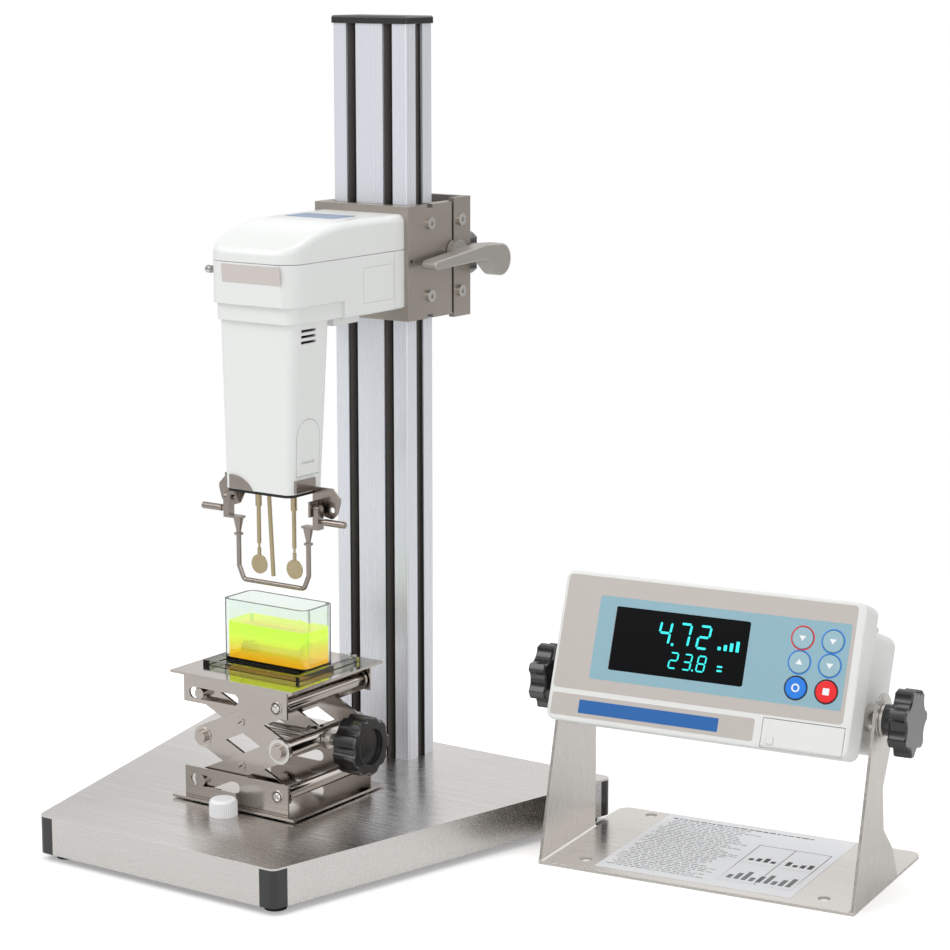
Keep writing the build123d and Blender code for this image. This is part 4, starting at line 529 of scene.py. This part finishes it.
def makePlates():
    # the head's front leans back by its lean between the step and the seam
    lean = math.atan2(headTrim["lean"], headTrim["seamZ"] - headTrim["stepZ"])
    upward = (0, -math.sin(lean), math.cos(lean))
    leaning = planeAt(onStand(0, headTrim["frontY"], headTrim["seamZ"]), (1, 0, 0), upward)
    outline = rounded(*headTrim["plate"], headTrim["plateCorner"])
    settle(flatPiece("head_name_plate", leaning, [outline], 0.0, headTrim["plateThick"]),
           "head", "namePlate")
    outline = rounded(*headTrim["topLabel"], headTrim["labelCorner"])
    top = headTrim["topZ"]
    settle(flatPiece("head_top_label", topPlane, [outline], top, top + headTrim["labelThick"]),
           "head", "topLabel")


def makeHeadLines():
    left, right, low, high = headTrim["sidePanel"]
    wide, corner, side = headTrim["panelLine"], headTrim["panelCorner"], headTrim["sideX"]
    inner = rounded(left + wide, right - wide, low + wide, high - wide, corner - wide)
    lines = {"head_side_panel_line": [rounded(left, right, low, high, corner), inner],
             "head_back_seam": [rounded(*headTrim["backSeam"], headTrim["seamCorner"])]}
    for name, outlines in lines.items():
        settle(flatPiece(name, rightPlane, outlines, side, side + headTrim["lineThick"]),
               "head", "seamShade")


def makeSideButton():
    centre = onStand(*headTrim["button"])
    button = lathe("head_side_button", centre, (-1, 0, 0), headTrim["buttonProfile"])
    settle(button, "head", "brightMetal")


makePlates()
makeHeadLines()
makeSideButton()
print("head trim made")

# scissor jack: rivets on the fixed pivots, thin black sheets as painted shade of the slots in the
# crossings' rivets, washers on the middle pivots
jackTrim = {
    "flangeFront": 80.5, "armFront": 83.0, "rivetHead": 0.7, "slotLong": 1.9, "slotHalf": 0.35,
    "slotCorner": 0.2, "slotThick": 0.06, "slotTurn": 36.87, "washerThick": 0.5,
    "rivetProfile": [(4.4, 0.0), (4.4, 0.5), (4.0, 0.8), (2.9, 0.8), (2.7, 1.3), (2.1, 1.7), (0.8, 1.8)],
    "fixedPivots": {"high": ("jack_table", "jack_table_level"), "low": ("root", "jack_raise")},
    "crossings": {"low": ("jack_arm_b", "jack_cross_low"), "high": ("jack_arm_c", "jack_cross_high")},
    "middles": {"left": ("jack_nut", "jack_nut_level", 6.6, 4.4),
                "right": ("jack_thrust", "jack_thrust_level", 8.4, 4.6)},
}


def pivotAt(jointName, front):
    # the point in front of a jack pivot, on a plane that faces the front
    x, y, z = jointOf[jointName]["pos_m"]
    return Vector((x, onStand(0, front, 0).y, z))


def makeJackRivets():
    for level, (body, jointName) in jackTrim["fixedPivots"].items():
        place = pivotAt(jointName, jackTrim["flangeFront"])
        rivet = lathe(f"jack_rivet_{level}", place, (0, -1, 0), jackTrim["rivetProfile"])
        settle(rivet, body, "brightMetal")
    turn, reach, half = math.radians(jackTrim["slotTurn"]), jackTrim["slotLong"], jackTrim["slotHalf"]
    across, upward = (math.cos(turn), 0, math.sin(turn)), (-math.sin(turn), 0, math.cos(turn))
    outline = rounded(-reach, reach, -half, half, jackTrim["slotCorner"], 2)
    for level, (body, jointName) in jackTrim["crossings"].items():
        place = planeAt(pivotAt(jointName, jackTrim["armFront"] - jackTrim["rivetHead"]), across, upward)
        # a thin black sheet on each crossing rivet, painted shade where its slot is
        settle(flatPiece(f"jack_rivet_slot_painted_shade_{level}", place, [outline], 0.0, jackTrim["slotThick"]),
               body, "printBlack")


def makeJackWashers():
    for side, (body, jointName, outer, inner) in jackTrim["middles"].items():
        place = planeAt(pivotAt(jointName, jackTrim["armFront"]), (1, 0, 0), (0, 0, 1))
        outlines = [circle(0, 0, outer), circle(0, 0, inner)]
        settle(flatPiece(f"jack_washer_{side}", place, outlines, 0.0, jackTrim["washerThick"]),
               body, "brightMetal")


makeJackRivets()
makeJackWashers()
print("jack trim made")

# display face: printed panels with openings for the window and the keys
faceTrim = {
    "window": (-63.2, 28.0, 35.6, 76.3), "windowCorner": 1.6,
    "keyColumns": (62.7, 82.4), "keyRows": (70.2, 55.2, 39.3), "keyHole": 7.0,
}
panels = {
    # name: outline, corner, thickness, cut for window and keys, finish, slot
    "face_panel_grey": ((-98.8, 95.6, 20.7, 93.6), 2.5, 0.12, True, "facePanelGrey", "display_grey"),
    "face_panel_blue": ((-75.0, 93.2, 28.6, 82.0), 1.5, 0.16, True, "facePanelBlue", "key_grey_blue"),
    "face_lower_strip": ((-98.2, 39.5, 3.4, 17.4), 1.5, 0.12, False, "facePanelGrey", "display_grey"),
    "face_blue_stripe": ((-79.0, 16.0, 6.0, 14.6), 0.5, 0.16, False, "stripeBlue", "key_blue"),
}


def keyCentres():
    return [(u, v) for v in faceTrim["keyRows"] for u in faceTrim["keyColumns"]]


def makeFacePanels():
    openings = [rounded(*faceTrim["window"], faceTrim["windowCorner"])]
    openings += [circle(u, v, faceTrim["keyHole"]) for u, v in keyCentres()]
    for name, (edges, corner, thick, isCut, finishName, slotName) in panels.items():
        outlines = [rounded(*edges, corner)] + (openings if isCut else [])
        settle(flatPiece(name, facePlane, outlines, 0.0, thick), "display", finishName)


# key print: a ring round each key, and an arrow, a circle or a square on it
keyPrint = {
    "ring": (7.0, 7.7), "ringThick": 0.2, "keyTop": 0.8, "markThick": 0.06, "arrowHalf": 2.3,
    "arrowBase": 1.4, "arrowTip": 1.9, "circle": (2.6, 1.7), "square": 2.1, "squareCorner": 0.4,
}
keyPrints = {
    # key: ring's finish and its mark
    "upper_left": ("printRed", "down"), "upper_right": ("printBlue", "down"),
    "centre_left": ("printBlue", "up"), "centre_right": ("printBlue", "down"),
    "lower_left": ("printBlack", "circle"), "lower_right": ("printBlack", "square"),
}


def keyMark(u, v, kind):
    if kind == "circle":
        return [circle(u, v, radius) for radius in keyPrint["circle"]]
    if kind == "square":
        half = keyPrint["square"]
        return [rounded(u - half, u + half, v - half, v + half, keyPrint["squareCorner"])]
    way = 1 if kind == "up" else -1
    half, base = keyPrint["arrowHalf"], v - keyPrint["arrowBase"] * way
    return [[(u - half, base), (u + half, base), (u, v + keyPrint["arrowTip"] * way)]]


def makeKeyPrint():
    top = keyPrint["keyTop"]
    for (u, v), (name, (ringFinish, kind)) in zip(keyCentres(), keyPrints.items()):
        inner, outer = keyPrint["ring"]
        ring = [circle(u, v, outer), circle(u, v, inner)]
        settle(flatPiece(f"key_ring_{name}", facePlane, ring, 0.0, keyPrint["ringThick"]),
               "display", ringFinish)
        mark = flatPiece(f"key_mark_{name}", facePlane, keyMark(u, v, kind),
                         top, top + keyPrint["markThick"])
        settle(mark, f"key_{name}", "printWhite")


# lit digits: segments a to g run round from the top, with g in the middle
segmentsOf = {"0": "abcdef", "1": "bc", "2": "abged", "3": "abgcd", "4": "fgbc", "5": "afgcd",
              "6": "afgedc", "7": "abc", "8": "abcdefg", "9": "abcdfg"}
digitRows = {
    "upper": {"text": "4.72", "left": -33.5, "low": 55.4, "width": 8.6, "height": 15.4, "pitch": 13.2,
              "line": 1.5},
    "lower": {"text": "23.8", "left": -23.6, "low": 41.2, "width": 6.0, "height": 10.6, "pitch": 9.4,
              "line": 1.0},
}
digitShape = {"gap": 0.18, "slope": 0.1, "depth": 0.6, "thick": 0.05, "pointAfter": 1.6, "pointUp": 0.6,
              "pointRadius": 0.65}
levelBars = {"left": 8.0, "pitch": 4.0, "width": 2.2, "low": 56.4, "shortest": 2.2, "growth": 1.5,
             "count": 4, "dashes": ((9.5, 13, 43, 44.2), (9.5, 13, 45.6, 46.8)), "corner": 0.3}


def segmentOutline(a, b, width, height, line, letter):
    # one bar of a digit, with pointed ends
    half, gap = line / 2, line * digitShape["gap"]
    level = {"a": b + height - half, "g": b + height / 2, "d": b + half}
    if letter in level:
        middle = level[letter]
        start, end = a + half + gap, a + width - half - gap
        return [(start, middle), (start + half, middle + half), (end - half, middle + half),
                (end, middle), (end - half, middle - half), (start + half, middle - half)]
    x = a + half if letter in "ef" else a + width - half
    low = b + half + gap if letter in "ec" else b + height / 2 + gap
    high = b + height / 2 - gap if letter in "ec" else b + height - half - gap
    return [(x, low), (x + half, low + half), (x + half, high - half), (x, high),
            (x - half, high - half), (x - half, low + half)]


def digitOutlines(row):
    # a row's segments, leaning a little to the right, and its point
    outlines, a, line = [], row["left"], row["line"]
    for letter in row["text"]:
        if letter == ".":
            spot = a - row["pitch"] + row["width"] + line * digitShape["pointAfter"]
            outlines.append(circle(spot, row["low"] + line * digitShape["pointUp"],
                                   line * digitShape["pointRadius"], 16))
            continue
        for segment in segmentsOf[letter]:
            shape = segmentOutline(a, row["low"], row["width"], row["height"], line, segment)
            outlines.append([(u + (v - row["low"]) * digitShape["slope"], v) for u, v in shape])
        a += row["pitch"]
    return outlines


def barOutlines():
    outlines = []
    for step in range(levelBars["count"]):
        left = levelBars["left"] + step * levelBars["pitch"]
        high = levelBars["low"] + levelBars["shortest"] + step * levelBars["growth"]
        edges = (left, left + levelBars["width"], levelBars["low"], high)
        outlines.append(rounded(*edges, levelBars["corner"]))
    return outlines + [rounded(*dash, levelBars["corner"]) for dash in levelBars["dashes"]]


def makeLitSigns():
    low = -digitShape["depth"]
    signs = {f"digits_{rowName}": digitOutlines(row) for rowName, row in digitRows.items()}
    signs["display_level_bars"] = barOutlines()
    for name, outlines in signs.items():
        settle(flatPiece(name, facePlane, outlines, low, low + digitShape["thick"]),
               "display", "digitGlow")


makeFacePanels()
makeKeyPrint()
makeLitSigns()
print("display face made")

# instruction sheet on the bracket's floor, with plain dashes and bars in place of words
sheetShape = {
    "edges": (-71, 63, -57, 64), "corner": 1.5, "floor": 2.0, "thick": 0.12, "printThick": 0.03,
    "lines": 34, "topMargin": 8, "margins": 14, "left": -67, "right": 2, "titleMargin": 30,
    "indents": (0, 2, 4), "raggedness": 16, "word": (1.6, 6.0), "space": (0.7, 1.4), "wordHeight": 0.8,
    "titleHeight": 1.6, "wordCorner": 0.2, "darkShare": 0.6, "seed": 7,
}
chartShape = {
    "left": 8, "right": 58, "low": -44, "high": 30, "line": 0.5, "lineCorner": 0.1, "bars": 9,
    "firstBar": 4, "barPitch": 5, "barWidth": 3.2, "barCorner": 0.3, "shortest": 3, "growth": 2,
    "heights": 3, "lowerFoot": 5, "lowerStretch": 2.4, "upperFoot": 6, "upperExtra": 1.2,
}


def sheetWords():
    # dashes in the place of words, dark or pale
    draw = random.Random(sheetShape["seed"])
    left, right, front, back = sheetShape["edges"]
    pitch = (back - front - sheetShape["margins"]) / sheetShape["lines"]
    dark, pale = [], []
    for row in range(sheetShape["lines"]):
        level = back - sheetShape["topMargin"] - row * pitch
        a = sheetShape["left"] + draw.choice(sheetShape["indents"])
        end = sheetShape["right"] - draw.uniform(0, sheetShape["raggedness"])
        tall = sheetShape["wordHeight"]
        if row == 0:
            end, tall = right - sheetShape["titleMargin"], sheetShape["titleHeight"]
        while a < end:
            width = draw.uniform(*sheetShape["word"])
            group = dark if draw.random() < sheetShape["darkShare"] else pale
            group.append(rounded(a, a + width, level, level + tall, sheetShape["wordCorner"], 2))
            a += width + draw.uniform(*sheetShape["space"])
    return dark, pale


def chartMarks():
    # a plain grid with bars in it
    left, right, low, high = (chartShape[edge] for edge in ("left", "right", "low", "high"))
    line, corner = chartShape["line"], chartShape["lineCorner"]
    middle, centre = (low + high) / 2, (left + right) / 2
    dark = [rounded(left, right, level, level + line, corner, 2) for level in (low, middle, high)]
    dark += [rounded(side, side + line, low, high, corner, 2) for side in (left, centre, right - line)]
    pale = []
    for step in range(chartShape["bars"]):
        tall = chartShape["shortest"] + chartShape["growth"] * (step % chartShape["heights"])
        side = left + chartShape["firstBar"] + step * chartShape["barPitch"]
        bar = (side, side + chartShape["barWidth"])
        foot = low + chartShape["lowerFoot"]
        high = foot + tall * chartShape["lowerStretch"]
        pale.append(rounded(*bar, foot, high, chartShape["barCorner"], 2))
        foot = middle + chartShape["upperFoot"]
        high = foot + tall + chartShape["upperExtra"]
        dark.append(rounded(*bar, foot, high, chartShape["barCorner"], 2))
    return dark, pale


def makeSheet():
    low, high = sheetShape["floor"], sheetShape["floor"] + sheetShape["thick"]
    outline = rounded(*sheetShape["edges"], sheetShape["corner"])
    sheet = flatPiece("instruction_sheet", floorPlane, [outline], low, high)
    settle(sheet, "root", "paper")
    darkWords, paleWords = sheetWords()
    darkMarks, paleMarks = chartMarks()
    prints = {"sheet_rules_dark": (darkWords + darkMarks, "printBlack"),
              "sheet_rules_pale": (paleWords + paleMarks, "printGrey")}
    for name, (outlines, finishName) in prints.items():
        settle(flatPiece(name, floorPlane, outlines, high, high + sheetShape["printThick"]),
               "root", finishName)


makeSheet()
print("instruction sheet made")

# stage and light
stageShape = {
    "floor": 8.0, "floorColour": screen(246, 246, 246), "floorRough": 0.9, "floorGlow": 0.3,
    "whiteFrom": 0.5, "whiteTo": 0.85, "roomLight": 0.56, "roomDark": 0.3, "roomBright": 1.45,
    "roomScale": 1.6, "noiseLow": 0.38, "noiseHigh": 0.62,
}


def seenDirectly(tree, path):
    # 1 for rays from the camera, also through glass
    return addMath(tree, "MAXIMUM", path.outputs["Is Camera Ray"], path.outputs["Is Transmission Ray"])


def makeFloor():
    # lit near the part, where it keeps the shadow, and plain white further away
    half = stageShape["floor"]
    corners = [(-half, -half, 0), (half, -half, 0), (half, half, 0), (-half, half, 0)]
    floor = addMesh("studio_floor", corners, [(0, 1, 2, 3)])
    material = bpy.data.materials.new("studioFloor")
    material.use_nodes = True
    tree = material.node_tree
    shader = tree.nodes["Principled BSDF"]
    shader.inputs["Base Color"].default_value = (*stageShape["floorColour"], 1)
    shader.inputs["Roughness"].default_value = stageShape["floorRough"]
    shader.inputs["Specular IOR Level"].default_value = 0.0
    shader.inputs["Emission Color"].default_value = (1, 1, 1, 1)
    path = tree.nodes.new("ShaderNodeLightPath")
    glow = addMath(tree, "MULTIPLY", path.outputs["Is Camera Ray"], stageShape["floorGlow"])
    tree.links.new(glow, shader.inputs["Emission Strength"])
    place = tree.nodes.new("ShaderNodeTexCoord")
    away = tree.nodes.new("ShaderNodeVectorMath")
    away.operation = "LENGTH"
    tree.links.new(place.outputs["Object"], away.inputs[0])
    far = addRange(tree, away.outputs["Value"], 0.0, 1.0, stageShape["whiteFrom"], stageShape["whiteTo"])
    white = tree.nodes.new("ShaderNodeEmission")
    mix = tree.nodes.new("ShaderNodeMixShader")
    tree.links.new(addMath(tree, "MULTIPLY", far, seenDirectly(tree, path)), mix.inputs[0])
    tree.links.new(shader.outputs["BSDF"], mix.inputs[1])
    tree.links.new(white.outputs["Emission"], mix.inputs[2])
    tree.links.new(mix.outputs["Shader"], tree.nodes["Material Output"].inputs["Surface"])
    floor.data.materials.append(material)


def makeWorld():
    # white where it is seen, even for lighting, and brighter and darker by turns where metal mirrors it
    world = bpy.data.worlds.new("studio")
    scene.world = world
    world.use_nodes = True
    tree = world.node_tree
    sky = tree.nodes["Background"]
    sky.inputs["Color"].default_value = (1, 1, 1, 1)
    place = tree.nodes.new("ShaderNodeTexCoord")
    room = addNoise(tree, stageShape["roomScale"], 1.0, place.outputs["Generated"])
    mirrored = addRange(tree, room, stageShape["roomDark"], stageShape["roomBright"],
                        stageShape["noiseLow"], stageShape["noiseHigh"])
    path = tree.nodes.new("ShaderNodeLightPath")
    level = addMix(tree, path.outputs["Is Glossy Ray"], stageShape["roomLight"], mirrored)
    level = addMix(tree, seenDirectly(tree, path), level, 1.0)
    tree.links.new(level, sky.inputs["Strength"])


lamps = {
    "keyLamp": {"place": (-0.9, -1.5, 1.9), "size": 1.5, "power": 21.0},
    "fillLamp": {"place": (1.9, -0.9, 1.2), "size": 1.4, "power": 7.0},
    "topLamp": {"place": (0.1, 0.3, 2.2), "size": 1.6, "power": 15.0},
}
lampAim = Vector((0, 0, 0.22))


def makeLamps():
    for name, lamp in lamps.items():
        light = bpy.data.lights.new(name, "AREA")
        light.shape = "SQUARE"
        light.size = lamp["size"]
        light.energy = lamp["power"]
        holder = bpy.data.objects.new(name, light)
        holder.location = lamp["place"]
        holder.rotation_euler = (lampAim - Vector(lamp["place"])).to_track_quat("-Z", "Y").to_euler()
        scene.collection.objects.link(holder)


# the photo's viewpoint, in the stand's millimetres and degrees
cameraShape = {"place": (1103.41, -1243.49, 578.51), "pitch": 10.794, "yaw": 34.605, "lens": 104.32,
               "sensor": 36.0, "near": 0.05, "far": 50.0}


def makeCamera():
    camera = bpy.data.cameras.new("camera")
    camera.lens = cameraShape["lens"]
    camera.sensor_width = cameraShape["sensor"]
    camera.clip_start = cameraShape["near"]
    camera.clip_end = cameraShape["far"]
    holder = bpy.data.objects.new("camera", camera)
    holder.location = onStand(*cameraShape["place"])
    tilt = math.radians(90 - cameraShape["pitch"])
    holder.rotation_euler = (tilt, 0, math.radians(cameraShape["yaw"]))
    scene.collection.objects.link(holder)
    scene.camera = holder


makeFloor()
makeWorld()
makeLamps()
makeCamera()
scene.view_settings.view_transform = "Standard"
print("stage, light and camera ready")
